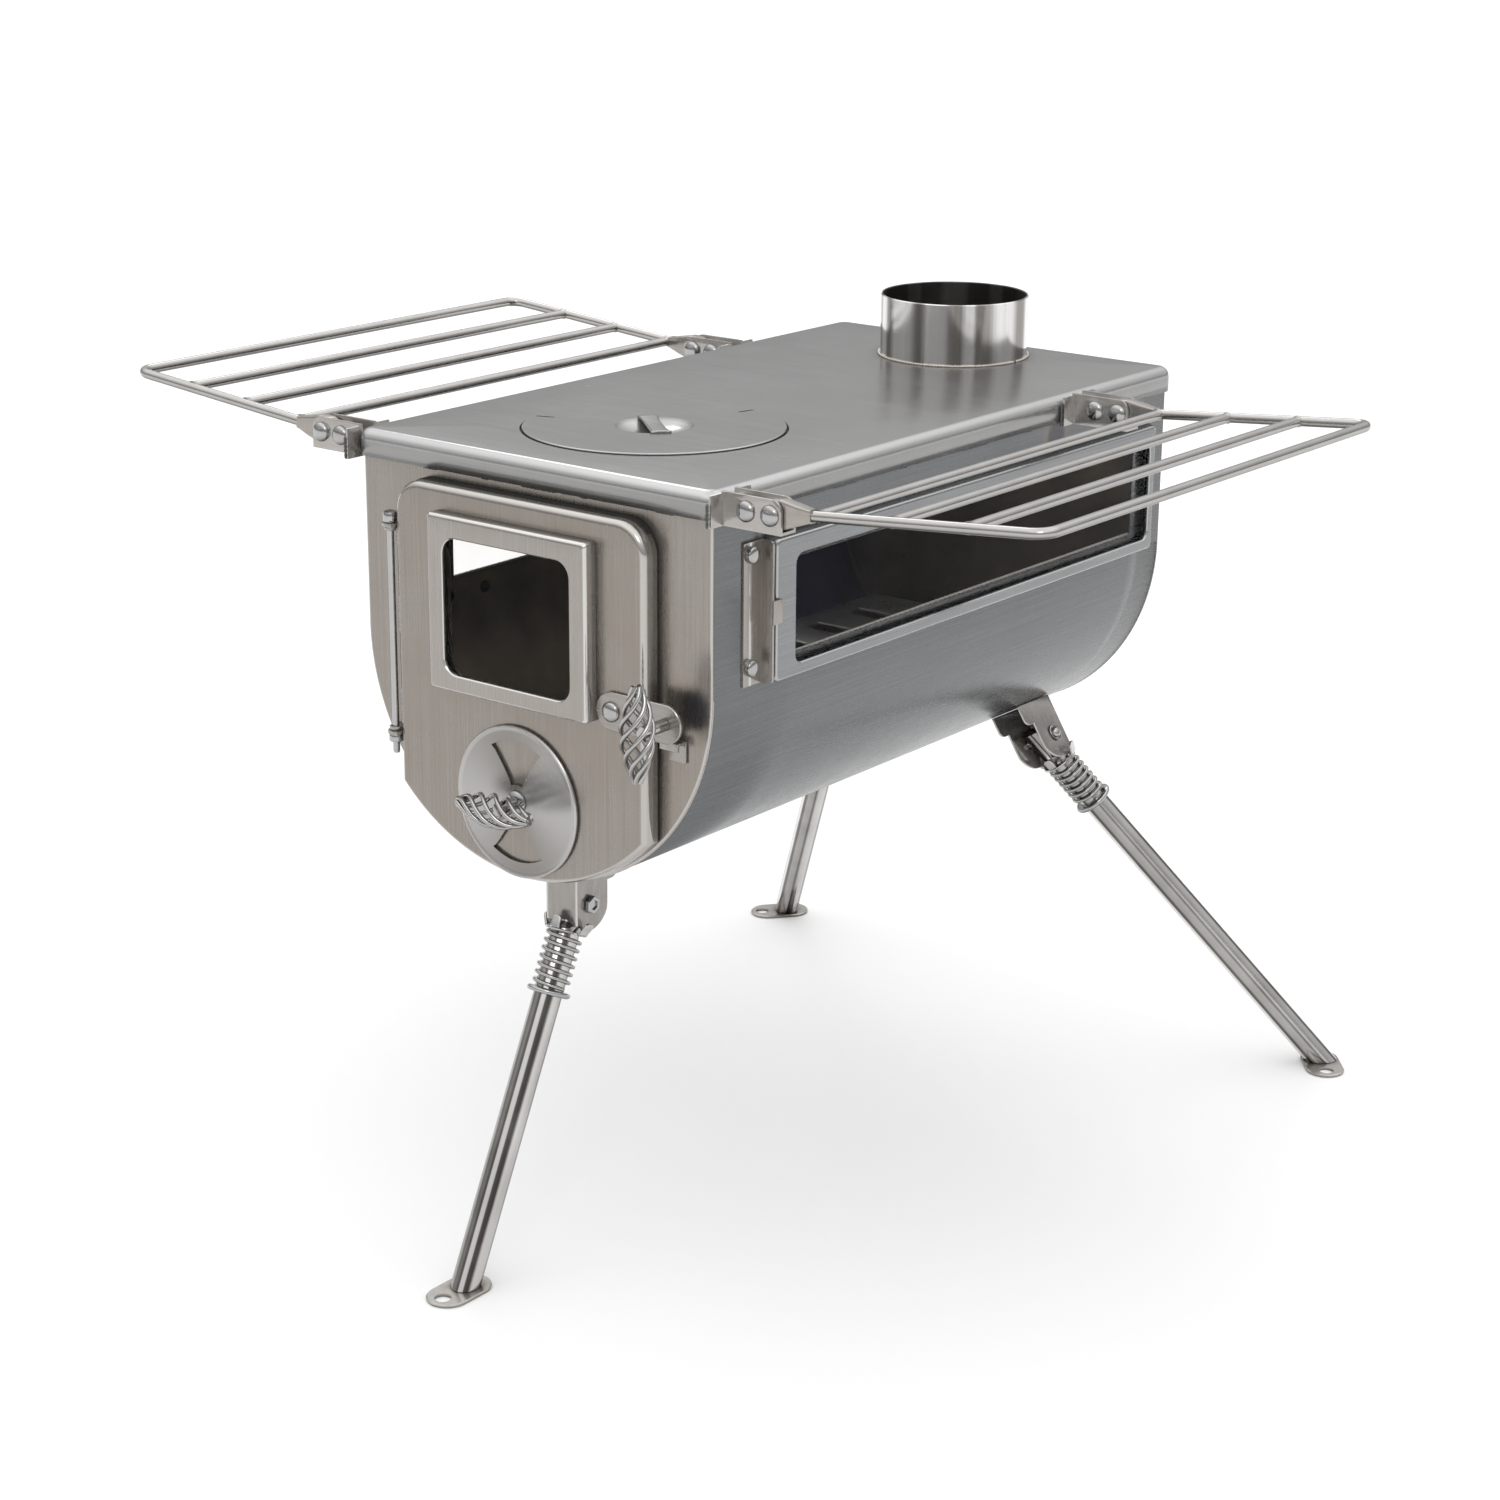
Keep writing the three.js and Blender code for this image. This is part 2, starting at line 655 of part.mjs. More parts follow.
/** A raised frame pressed from sheet, open behind, which holds the glass against the door. */
function doorWindowFrame() {
  const t = doorSheet;
  const face = doorFrameFace;
  const depth = doorFrameDepth - clearance;
  const back = face + depth;
  const outside = roundedRect(
    -doorFrameHalfWidth, doorFrameBottom, doorFrameHalfWidth, doorFrameTop, doorFrameCorner,
  );
  const sight = roundedRect(
    -doorSightHalfWidth, doorSightBottom, doorSightHalfWidth, doorSightTop, doorSightCorner,
  );
  const pocket = roundedRect(
    -doorFrameHalfWidth + t, doorFrameBottom + t,
    doorFrameHalfWidth - t, doorFrameTop - t, doorFrameCorner - t,
  );
  return cut(
    alongY(outside, back, depth),
    alongY(sight, back + 1, depth + 2),
    alongY(pocket, back + 1, depth - t + 1),
  );
}

function doorGlass() {
  const inset = doorSheet + clearance;
  const pane = roundedRect(
    -doorFrameHalfWidth + inset, doorFrameBottom + inset,
    doorFrameHalfWidth - inset, doorFrameTop - inset, doorFrameCorner - inset,
  );
  return alongY(pane, doorFrameFace + doorSheet + clearance + glassThickness, glassThickness);
}

/** The woven rope seal between the door and the front panel. */
function doorSeal() {
  const inset = doorSheet / 2;
  const outer = barrelOutline(doorHalfWidth - inset, doorRadius - inset, doorTop - inset, doorCorner - inset);
  const wide = inset + sealWidth;
  const inner = barrelOutline(doorHalfWidth - wide, doorRadius - wide, doorTop - wide, doorCorner - wide);
  const back = bodyFront - clearance;
  return cut(
    alongY(outer, back, sealDepth, { curveSegments: 7 }),
    alongY(inner, back + 1, sealDepth + 2, { curveSegments: 7 }),
  );
}

/** The leaf stitched along the door's left wall, folded into an ear at each end round the rod. */
function hingeLeaf() {
  const wall = -doorHalfWidth - clearance;
  const t = hingeLeafSheet;
  const strip = box(wall - t, doorFace + doorEdge, hingeBottom, wall, doorBack - 0.5, hingeTop);
  const earRadius = hingeEarRadius + 1;
  const ears = [hingeBottom, hingeTop - hingeEar].map((z) => {
    const ear = new THREE.Shape();
    ear.moveTo(wall, hingeY + earRadius);
    ear.lineTo(hingeX, hingeY + earRadius);
    ear.absarc(hingeX, hingeY, earRadius, Math.PI / 2, 1.5 * Math.PI);
    ear.lineTo(wall, hingeY - earRadius);
    return alongZ(ear, z, hingeEar);
  });
  const hole = bar(
    hingeRodRadius + clearance, 2 * (hingeTop - hingeBottom), Z, [hingeX, hingeY, 0.8 * hingeBottom],
  );
  return cut(join(strip, ...ears), hole);
}

/** An ear welded to the front panel that carries one end of the hinge rod. */
function panelEar(z) {
  const earRadius = hingeEarRadius;
  const ear = new THREE.Shape();
  ear.moveTo(hingeX - earRadius, bodyFront - clearance);
  ear.lineTo(hingeX - earRadius, hingeY);
  ear.absarc(hingeX, hingeY, earRadius, Math.PI, 2 * Math.PI);
  ear.lineTo(hingeX + earRadius, bodyFront - clearance);
  const hole = bar(hingeRodRadius + clearance, 4 * hingeEar, Z, [hingeX, hingeY, z - hingeEar]);
  return cut(alongZ(ear, z, hingeEar), hole);
}

const upperEarZ = hingeTop - 2 * hingeEar - clearance;
const lowerEarZ = hingeBottom + hingeEar + clearance;

/** A long bolt: cap head above the upper ear, plain rod, and a nut under the lower ear. */
function hingeRod() {
  const headFoot = hingeTop + clearance;
  const head = turned([
    [0, headFoot], [nutRadius, headFoot], [nutRadius, headFoot + 5], [nutRadius - 0.7, headFoot + 6],
    [0, headFoot + 6],
  ], Z, [hingeX, hingeY, 0], 16);
  const tail = hingeBottom - hingeRodTail;
  const shank = bar(hingeRodRadius, headFoot - tail + 1, Z, [hingeX, hingeY, tail], 12);
  const nutFoot = hingeBottom - clearance - nutHeight;
  const nut = bar(nutRadius, nutHeight, Z, [hingeX, hingeY, nutFoot], 6);
  return join(head, shank, nut);
}

part('door_shell', doorShell(), brushed);
part('door_window_frame', doorWindowFrame(), brushed);
part('door_glass', doorGlass(), glass);
part('door_seal', doorSeal(), rope);
part('door_hinge_leaf', hingeLeaf(), brushed);
part('hinge_ear_upper', panelEar(upperEarZ), brushed);
part('hinge_ear_lower', panelEar(lowerEarZ), brushed);
part('hinge_rod', hingeRod(), polished);

// ---------------------------------------------------------------- cage handles

/** Wires twisted into an open basket round a core, on a stud. Made along Z round the origin. */
function cage() {
  const steps = 8;
  const half = cageLength / 2;
  const wires = [];
  for (let w = 0; w < cageWires; w++) {
    const points = [];
    for (let i = 0; i <= steps; i++) {
      const t = i / steps;
      const bulge = cageNeck + (cageRadius - cageNeck) * Math.sin(Math.PI * t) ** 0.8;
      const turn = rad(cageTwist) * t + (w / cageWires) * 2 * Math.PI;
      points.push(new THREE.Vector3(
        bulge * Math.cos(turn), bulge * Math.sin(turn), -half + t * cageLength,
      ));
    }
    wires.push(rod(points, cageWire, 5));
  }
  const core = bar(cageCore, cageLength - 2, Z, [0, 0, -half + 1], 6);
  const ends = [-half - 0.5, half - cageCap + 0.5].map(
    (z) => bar(cageNeck + cageCore, cageCap, Z, [0, 0, z], 10),
  );
  return join(core, ...ends, ...wires);
}

// ---------------------------------------------------------------- latch

/** A strap that turns on a rivet in the door; a finger on its back rests on the keeper. */
function latchPlate() {
  const back = doorFace - clearance;
  const outline = stadium(0, latchReach, latchWidth / 2);
  const strap = alongY(outline, back, latchThickness).translate([latchX, 0, latchHeight]);
  const fingerX = latchX + latchReach - 5;
  const fingerZ = latchHeight - latchWidth / 2 - 1;
  const finger = box(fingerX, back - latchThickness, fingerZ, fingerX + 7, bodyFront - 2, fingerZ + 2.5);
  const pivot = bar(
    studRadius + clearance, 4 * latchThickness, Y, [latchX, back - 3 * latchThickness, latchHeight],
  );
  return cut(join(strap, finger), pivot);
}

function latchRivet() {
  const top = doorFace - 2 * clearance - latchThickness;
  const rear = doorFace + doorSheet + clearance;
  return join(
    dome(latchRivetHead, latchRivetHeight, Y.clone().negate(), [latchX, top, latchHeight]),
    bar(studRadius, rear - top + 0.1, Y, [latchX, top - 0.05, latchHeight], 12),
    bar(5, 1.2, Y, [latchX, rear, latchHeight], 12),
  );
}

function latchHandle() {
  const x = latchX + latchReach;
  const strapFace = doorFace - clearance - latchThickness;
  const stud = bar(studRadius, latchStandoff, Y, [x, strapFace - clearance - latchStandoff, latchHeight], 10);
  return join(cage().translate([x, strapFace - clearance - latchStandoff, latchHeight]), stud);
}

/** A small shelf with a turned-down lip, welded to the front panel under the latch finger. */
function latchKeeper() {
  const x0 = latchX + latchReach - 9;
  const shelfTop = latchHeight - latchWidth / 2 - 1 - clearance;
  const back = bodyFront - clearance;
  const x1 = x0 + keeperWidth;
  const t = doorSheet;
  return join(
    box(x0, back - t, shelfTop - keeperHeight, x1, back, shelfTop),
    box(x0, back - keeperDepth, shelfTop - t, x1, back - t / 2, shelfTop),
    box(x0, back - keeperDepth, shelfTop - 3 * t, x1, back - keeperDepth + t, shelfTop - t / 2),
  );
}

part('latch_plate', latchPlate(), brushed);
part('latch_rivet', latchRivet(), polished);
part('latch_handle', latchHandle(), polished);
part('latch_keeper', latchKeeper(), brushed);

// ---------------------------------------------------------------- damper

/** A disc with a rolled rim and two open sectors, which turns to uncover the ports in the door. */
function damperDisc() {
  const rim = 1;
  const profile = [
    [studRadius + clearance, 0], [damperRadius - 1, 0], [damperRadius, 0.5],
    [damperRadius, damperThickness + 0.3], [damperRadius - 1, damperThickness + rim],
    [damperRadius - 2.4, damperThickness + rim], [damperRadius - 4, damperThickness],
    [studRadius + clearance, damperThickness], [studRadius + clearance, 0],
  ];
  const disc = turned(profile, Y.clone().negate(), [0, doorFace - clearance, damperHeight], 28);
  const openings = [Math.PI / 2, -Math.PI / 2].map((turn) => alongY(
    sector(damperHub, damperPortRadius, turn, rad(damperPortHalfAngle)), doorFace + 2, 12,
  ).translate([0, 0, damperHeight]));
  return cut(disc, ...openings);
}

/** The handle's stud passes through the disc and the door and ends in a retaining head. */
function damperHandle() {
  const discFace = doorFace - clearance - damperThickness;
  const front = discFace - damperStandoff;
  const rear = doorFace + doorSheet + clearance;
  const stud = bar(studRadius, rear - front + 0.1, Y, [0, front, damperHeight], 10);
  const washer = dome(6.4, 2.4, Y.clone().negate(), [0, discFace - clearance, damperHeight]);
  const retainer = bar(7, 2, Y, [0, rear, damperHeight], 6);
  const basket = cage().rotate([0, 90, 0]).translate([0, front, damperHeight]);
  return join(stud, washer, retainer, basket);
}

part('damper_disc', damperDisc(), satin);
part('damper_handle', damperHandle(), polished);

// ---------------------------------------------------------------- side windows

/** The sight opening of a side window, drawn smaller by the insets along Y and Z. */
function windowHole(insetY = 0, insetZ = 0) {
  return roundedRect(
    windowFront + sightFront + insetY, windowBottom + sightBottom + insetZ,
    windowBack - sightBack - insetY, windowTop - sightTop - insetZ, sightCorner,
  );
}

/** A raised frame pressed from sheet, open behind, made on the right side. */
function windowFrame() {
  const start = bodyRadius + clearance;
  const depth = windowDepth - clearance;
  const t = sheet;
  const slope = windowSlope;
  const foot = roundedRect(
    windowFront + slope, windowBottom + slope, windowBack - slope, windowTop - slope, 3,
  );
  const block = alongX(foot, start - slope, depth, {
    bevelEnabled: true, bevelThickness: slope, bevelSize: slope, bevelSegments: 1, curveSegments: 3,
  });
  const behind = box(start - 4 * slope, 2 * windowFront, 0, start, 2 * windowBack, 2 * windowTop);
  const pocket = alongX(roundedRect(
    windowFront + t, windowBottom + t, windowBack - t, windowTop - t, 3,
  ), start - 1, depth - t + 1);
  return cut(block, behind, pocket, alongX(windowHole(), start - 1, 2 * windowDepth));
}

function windowGlass() {
  const inset = sheet + clearance;
  return alongX(roundedRect(
    windowFront + inset, windowBottom + inset, windowBack - inset, windowTop - inset, 2.5,
  ), bodyRadius + windowDepth - sheet - clearance - glassThickness, glassThickness);
}

/** An angle screwed to the wrap: its web closes the frame's front end, and its tab hooks over it. */
function windowClip() {
  const t = clipSheet;
  const start = bodyRadius + clearance;
  const face = windowFront - clipGap;
  const tabStart = bodyRadius + windowDepth + clearance;
  const low = windowBottom + 2;
  const high = windowTop - 1;
  const flange = box(start, face - clipWidth, low, start + t, face, high);
  const web = alongY(roundedRect(start, low, tabStart + t / 2, high, 2), face, t);
  const middle = (low + high) / 2;
  const tab = box(
    tabStart, face - t, middle - clipTabHeight / 2,
    tabStart + t, windowFront + clipOverlap, middle + clipTabHeight / 2,
  );
  const heads = [low + 10, high - 6].map(
    (z) => bar(clipScrew, 3, X, [start + t - 0.05, face - clipWidth + clipScrew, z], 10),
  );
  return join(flange, web, tab, ...heads);
}

for (const [side, hand] of sides) {
  part(`side_window_frame_${side}`, hand(windowFrame()), bluish);
  part(`side_glass_${side}`, hand(windowGlass()), glass);
  part(`window_clip_${side}`, hand(windowClip()), bluish);
}

// ---------------------------------------------------------------- folding racks

const armHalf = bracketInside / 2 - 0.5;
const webTop = rackPivotHeight - armRadius - clearance;

/** A U bracket on the right side: two cheeks, a floor that the open arm rests on, and flanges. */
function rackBracket(y) {
  const root = plateHalfWidth + clearance;
  const low = webTop - bracketSheet;
  const high = low + bracketHeight;
  const corner = bracketCorner;
  const cheek = new THREE.Shape();
  cheek.moveTo(root, low);
  cheek.lineTo(bracketReach, low);
  cheek.lineTo(bracketReach, high - corner);
  cheek.absarc(bracketReach - corner, high - corner, corner, 0, Math.PI / 2);
  cheek.lineTo(root, high);
  const inside = bracketInside / 2;
  const outside = inside + bracketSheet;
  const cheeks = [y - inside, y + outside].map((back) => alongY(cheek, back, bracketSheet));
  const floor = box(root, y - outside, low, bracketReach, y + outside, webTop);
  const flange = (y0, y1) => box(root, y0, low, root + bracketSheet, y1, high - 1);
  const flanges = [
    flange(y - outside - bracketFlange, y - inside),
    flange(y + inside, y + outside + bracketFlange),
  ];
  const stop = rackPivotX - rivetSpacing;
  const stopPin = bar(rivetRadius, 2 * outside, Y, [stop, y - outside, rackPivotHeight], 8);
  const heads = [
    dome(rivetHead, rivetHeight, Y.clone().negate(), [stop, y - outside + 0.05, rackPivotHeight]),
    dome(rivetHead, rivetHeight, Y, [stop, y + outside - 0.05, rackPivotHeight]),
  ];
  const pivotHole = bar(
    rivetRadius + clearance, 4 * outside, Y, [rackPivotX, y - 2 * outside, rackPivotHeight], 8,
  );
  return cut(join(...cheeks, floor, ...flanges, stopPin, ...heads), pivotHole);
}

/** The rivet that an arm turns on, through both cheeks, with a domed head at each end. */
function rackPivot(y) {
  const outside = bracketInside / 2 + bracketSheet + clearance;
  return join(
    bar(rivetRadius, 2 * outside, Y, [rackPivotX, y - outside, rackPivotHeight], 8),
    dome(rivetHead, rivetHeight, Y.clone().negate(), [rackPivotX, y - outside + 0.05, rackPivotHeight]),
    dome(rivetHead, rivetHeight, Y, [rackPivotX, y + outside - 0.05, rackPivotHeight]),
  );
}

/** A tapered arm round the rod's end. Drawn level with its pivot at the origin. */
function rackArm(y) {
  const tip = rackRod + 0.9;
  const outline = new THREE.Shape();
  outline.absarc(0, 0, armRadius, Math.PI / 2, 1.5 * Math.PI - rad(rackTilt));
  const tilt = rad(rackTilt);
  const drop = armRadius * Math.cos(tilt);
  outline.lineTo(
    armHeel * Math.cos(tilt) - drop * Math.sin(tilt),
    -drop * Math.cos(tilt) - armHeel * Math.sin(tilt) + 0.1,
  );
  outline.lineTo(armLength, -tip);
  outline.lineTo(armLength, tip);
  outline.lineTo(armShoulder, armRadius);
  const arm = alongY(outline, y + armHalf, 2 * armHalf);
  const pivotHole = bar(rivetRadius + clearance, 4 * armHalf, Y, [0, y - 2 * armHalf, 0], 8);
  return cut(arm, pivotHole);
}

/** One rod bent round three sides, with straight rods welded between its cross runs. */
function sideRack() {
  const bend = [];
  const steps = 5;
  const start = armLength - 6;
  bend.push(new THREE.Vector3(start, rackFront, 0));
  for (const [y, from] of [[rackFront + rackBend, -Math.PI / 2], [rackBack - rackBend, 0]]) {
    for (let i = 0; i <= steps; i++) {
      const turn = from + (i / steps) * (Math.PI / 2);
      bend.push(new THREE.Vector3(
        rackReach - rackBend + rackBend * Math.cos(turn), y + rackBend * Math.sin(turn), 0,
      ));
    }
  }
  bend.push(new THREE.Vector3(start, rackBack, 0));
  const rods = [rod(bend, rackRod, 8)];
  for (let i = 1; i <= rackInnerRods; i++) {
    const x = rackReach - i * rackPitch;
    rods.push(rod([
      new THREE.Vector3(x, rackFront + 1, 0), new THREE.Vector3(x, rackBack - 1, 0),
    ], rackRod, 8));
  }
  return join(rackArm(rackFront), rackArm(rackBack), ...rods)
    .rotate([0, -rackTilt, 0])
    .translate([rackPivotX, 0, rackPivotHeight]);
}

for (const [side, hand] of sides) {
  for (const [end, y] of [['front', rackFront], ['rear', rackBack]]) {
    part(`rack_bracket_${end}_${side}`, hand(rackBracket(y)), satin);
    part(`rack_pivot_${end}_${side}`, hand(rackPivot(y)), polished);
  }
  part(`side_rack_${side}`, hand(sideRack()), polished);
}

// ---------------------------------------------------------------- folding legs
// Each leg is made in a frame at its pivot: X along the pivot bolt, Y the way the foot splays,
// Z towards the barrel's centre line.

/** The frame of a leg that hangs from the barrel at an angle round it. */
function legFrame(turn, pivotY, splayDirection) {
  const away = new THREE.Vector3(Math.sin(turn), 0, -Math.cos(turn));
  const up = away.clone().negate();
  const splay = Y.clone().multiplyScalar(splayDirection);
  const across = new THREE.Vector3().crossVectors(splay, up);
  const place = away.clone().multiplyScalar(bodyRadius + pivotDrop);
  place.z += barrelHeight;
  place.y = pivotY;
  const frame = new THREE.Group();
  frame.matrixAutoUpdate = false;
  frame.matrix.makeBasis(across, splay, up).setPosition(place);
  stove.add(frame);
  return frame;
}

/** Takes away from a leg piece what is drawn in the stove's own frame. */
function cutInStove(body, frame, tool) {
  const inverse = frame.clone().invert();
  return cut(body, solid(tool.applyMatrix4(inverse)));
}

/** A folded channel welded to the barrel: web outside, notched for the collar, open to fold. */
function legBracket(frame) {
  const t = bracketSheet;
  const top = pivotDrop + 4;
  const outline = new THREE.Shape();
  const rear = webOut - cheekDepth;
  outline.moveTo(webOut, top);
  outline.lineTo(webOut, -webDrop);
  const webTurn = Math.atan2(-webDrop, Math.sqrt(cheekTail ** 2 - webDrop ** 2));
  outline.lineTo(cheekTail * Math.cos(webTurn) - 4, -webDrop);
  const tailStart = -Math.acos((webOut - 4) / cheekTail);
  outline.absarc(0, 0, cheekTail, tailStart, -rad(cheekTailEnd), true);
  outline.lineTo(rear, -2);
  outline.lineTo(rear, pivotDrop - lobeDrop);
  const lobeHeight = pivotDrop - lobeDrop + lobeRadius;
  outline.absarc(rear - lobeRadius, lobeHeight, lobeRadius, -Math.PI / 2, -Math.PI, true);
  outline.lineTo(rear - lobeReach, top);
  const cheeks = [-cheekInside - t, cheekInside].map((x) => alongX(outline, x, t));
  const web = box(-cheekInside - t, webOut - t, -webDrop, cheekInside + t, webOut, top);
  const notch = new THREE.Shape();
  notch.absellipse(0, -webDrop, notchHalfWidth, notchHeight, 0, 2 * Math.PI);
  const arch = alongY(notch, webOut + 1, t + 2);
  const boltHole = bar(boltRadius + clearance, 4 * cheekInside, X, [-2 * cheekInside, 0, 0]);
  const bracket = cut(join(...cheeks, web), arch, boltHole);
  const clear = bodyRadius + clearance;
  const barrel = new THREE.CylinderGeometry(clear, clear, 2 * bodyLength, 96);
  return cutInStove(bracket, frame, barrel.translate(0, 0, barrelHeight));
}

/** A bolt through both cheeks and the tube: round head, nut on the far side. */
function legBolt() {
  const reach = cheekInside + bracketSheet + clearance;
  return join(
    bar(boltRadius, 2 * reach, X, [-reach, 0, 0]),
    dome(boltHead, boltHeadHeight, X, [reach - 0.05, 0, 0]),
    bar(boltHead, boltNut, X, [-reach - boltNut + 0.05, 0, 0], 6),
  );
}

/** A round tube pressed oval at its top, built from rings outside and inside. */
function ovalTube(rings, wall) {
  const sides = 16;
  const points = [];
  const ring = ([z, halfX, halfY]) => {
    for (let i = 0; i < sides; i++) {
      const turn = (i / sides) * 2 * Math.PI;
      points.push(halfX * Math.cos(turn), halfY * Math.sin(turn), z);
    }
  };
  rings.forEach(ring);
  [...rings].reverse().map(([z, a, b]) => [z, a - wall, b - wall]).forEach(ring);
  const loops = 2 * rings.length;
  const faces = [];
  for (let k = 0; k < loops; k++) {
    const here = k * sides;
    const next = ((k + 1) % loops) * sides;
    for (let i = 0; i < sides; i++) {
      const j = (i + 1) % sides;
      faces.push(here + i, here + j, next + j, here + i, next + j, next + i);
    }
  }
  const geometry = new THREE.BufferGeometry();
  geometry.setAttribute('position', new THREE.Float32BufferAttribute(points, 3));
  geometry.setIndex(faces);
  return solid(geometry);
}

/** The leg tube down to the foot plate, which cuts it level, with its bolt hole. */
function legTube(length, frame) {
  const tube = ovalTube([
    [-length - 2 * legRadius, legRadius, legRadius], [-roundStart, legRadius, legRadius],
    [-crimpEnd, crimpHalfWidth, crimpHalf], [legTopEnd, crimpHalfWidth, crimpHalf],
  ], legWall);
  const boltHole = bar(boltRadius + clearance, 4 * cheekInside, X, [-2 * cheekInside, 0, 0]);
  const depth = 6 * legRadius;
  const ground = new THREE.BoxGeometry(4 * rearFootX, 4 * rearFootY, depth);
  return cutInStove(
    cut(tube, boltHole), frame, ground.translate(0, 0, footThickness + clearance - depth / 2),
  );
}

/** A sprung star collar: four fingers reach up round the bracket's lower end. */
function lockCollar() {
  const top = -collarPlace;
  const bore = legRadius + 0.4;
  const reach = cheekInside + bracketSheet + collarPlay;
  const t = collarSheet;
  const ring = turned([
    [bore, top - t], [collarRing, top - t], [collarRing, top], [bore, top], [bore, top - t],
  ], Z, [0, 0, 0], 16);
  const finger = collarFinger;
  const inner = collarInner;
  const fingers = [-1, 1].flatMap((hand) => {
    const [x0, x1] = [hand * reach, hand * (reach + t)].sort((a, b) => a - b);
    const [root0, root1] = [hand * 10, hand * (reach + t)].sort((a, b) => a - b);
    const [y0, y1] = [hand * inner, hand * (inner + 1.3)].sort((a, b) => a - b);
    return [
      box(root0, -finger, top - t, root1, finger, top),
      box(x0, -finger, top - t, x1, finger, top + collarTab),
      box(-finger, y0, top - t, finger, y1, top + collarTab),
    ];
  });
  return join(ring, ...fingers);
}

let springGap = Infinity;

/** A compression spring round the tube, as one helix. */
function legSpring() {
  const perCurl = 8;
  const steps = Math.round(springCurls * perCurl);
  const start = -collarPlace - collarSheet - clearance - springWire;
  const rise = springLength - 2 * springWire;
  const coil = (legRadius + 0.2 + springWire) / Math.cos(Math.PI / perCurl);
  const points = [];
  for (let i = 0; i <= steps; i++) {
    const turn = (i / perCurl) * 2 * Math.PI;
    points.push(new THREE.Vector3(
      coil * Math.cos(turn), coil * Math.sin(turn), start - (i / steps) * rise,
    ));
  }
  const pitch = rise / springCurls;
  springGap = Math.min(springGap, pitch - 2 * springWire);
  return rod(points, springWire, 5);
}

/** The ring that the spring stands on, pressed onto the tube. */
function springRing() {
  const top = -collarPlace - collarSheet - 2 * clearance - springLength;
  const bore = legRadius + clearance;
  return turned([
    [bore, top - ringThickness], [ringOuter - ringRounding, top - ringThickness],
    [ringOuter, top - ringThickness / 2], [ringOuter - ringRounding, top], [bore, top],
    [bore, top - ringThickness],
  ], Z, [0, 0, 0], 16);
}

/** A flat foot with a peg hole in its toe. Drawn with the tube's axis at the origin, toe along +X. */
function foot(x, y, turn) {
  const half = footWidth / 2;
  const outline = stadium(half - footHeel, footLength - footHeel - half, half);
  const hole = new THREE.Path();
  hole.absarc(footHoleReach, 0, footHole, 0, 2 * Math.PI);
  outline.holes.push(hole);
  const plate = extruded(outline, footThickness, { curveSegments: 6 });
  return solid(plate.rotateZ(turn).translate(x, y, 0));
}

const legs = [
  { name: 'front', x: 0, pivotY: frontPivotY, footY: frontFootY, toe: -90 },
  { name: 'rear_right', x: rearFootX, pivotY: rearPivotY, footY: rearFootY, toe: -90 + rearFootTurn },
  { name: 'rear_left', x: -rearFootX, pivotY: rearPivotY, footY: rearFootY, toe: -90 - rearFootTurn },
];

for (const leg of legs) {
  const turn = Math.atan2(leg.x, barrelHeight - footThickness);
  const reach = Math.hypot(leg.x, barrelHeight - footThickness);
  const drop = reach - bodyRadius - pivotDrop;
  const out = Math.abs(leg.footY - leg.pivotY);
  const splay = Math.atan2(out, drop);
  const frame = legFrame(turn, leg.pivotY, Math.sign(leg.footY));
  const tilted = new THREE.Group();
  tilted.rotation.x = splay;
  frame.add(tilted);
  stove.updateMatrixWorld(true);
  const length = Math.hypot(out, drop);
  part(`leg_bracket_${leg.name}`, legBracket(frame.matrixWorld), brushed, frame);
  part(`leg_bolt_${leg.name}`, legBolt(), polished, frame);
  part(`leg_tube_${leg.name}`, legTube(length, tilted.matrixWorld), polished, tilted);
  part(`lock_collar_${leg.name}`, lockCollar(), polished, tilted);
  part(`leg_spring_${leg.name}`, legSpring(), polished, tilted);
  part(`spring_ring_${leg.name}`, springRing(), polished, tilted);
  part(`foot_${leg.name}`, foot(leg.x, leg.footY, rad(leg.toe)), brushed);
}

console.log(`least gap of a leg spring to itself: ${springGap.toFixed(2)} mm`);

export default stove;
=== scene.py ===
"""Tent wood stove in stainless sheet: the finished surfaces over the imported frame.

Sizes are millimetres until a mesh is made, which is in metres. +X is the stove's right side seen
from the front, the door faces -Y, and the ground is Z = 0.
"""
import json
import bmesh
import bpy
import numpy as np
from mathutils import Matrix, Vector


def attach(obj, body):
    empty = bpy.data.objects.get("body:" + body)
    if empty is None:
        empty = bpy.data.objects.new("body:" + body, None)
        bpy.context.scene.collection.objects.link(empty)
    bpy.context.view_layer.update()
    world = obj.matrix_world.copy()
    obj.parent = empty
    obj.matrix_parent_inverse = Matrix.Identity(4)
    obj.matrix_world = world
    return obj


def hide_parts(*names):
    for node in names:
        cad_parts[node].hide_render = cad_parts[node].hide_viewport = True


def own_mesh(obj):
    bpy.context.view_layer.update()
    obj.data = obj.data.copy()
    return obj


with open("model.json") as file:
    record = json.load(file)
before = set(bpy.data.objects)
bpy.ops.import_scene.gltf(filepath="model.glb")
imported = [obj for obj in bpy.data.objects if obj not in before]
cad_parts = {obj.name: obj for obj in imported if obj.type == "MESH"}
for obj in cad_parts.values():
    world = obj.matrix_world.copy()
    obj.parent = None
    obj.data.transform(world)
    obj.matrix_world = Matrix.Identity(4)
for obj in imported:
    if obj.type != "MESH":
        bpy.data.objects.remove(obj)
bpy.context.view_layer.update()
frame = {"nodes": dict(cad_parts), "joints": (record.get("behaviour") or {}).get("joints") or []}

# ---------------------------------------------------------------- the view
# A camera at the photograph's height and angle, solved on the stove's own right angles and
# parallels. Its lens is given by its focal length in pixels of the square frame.

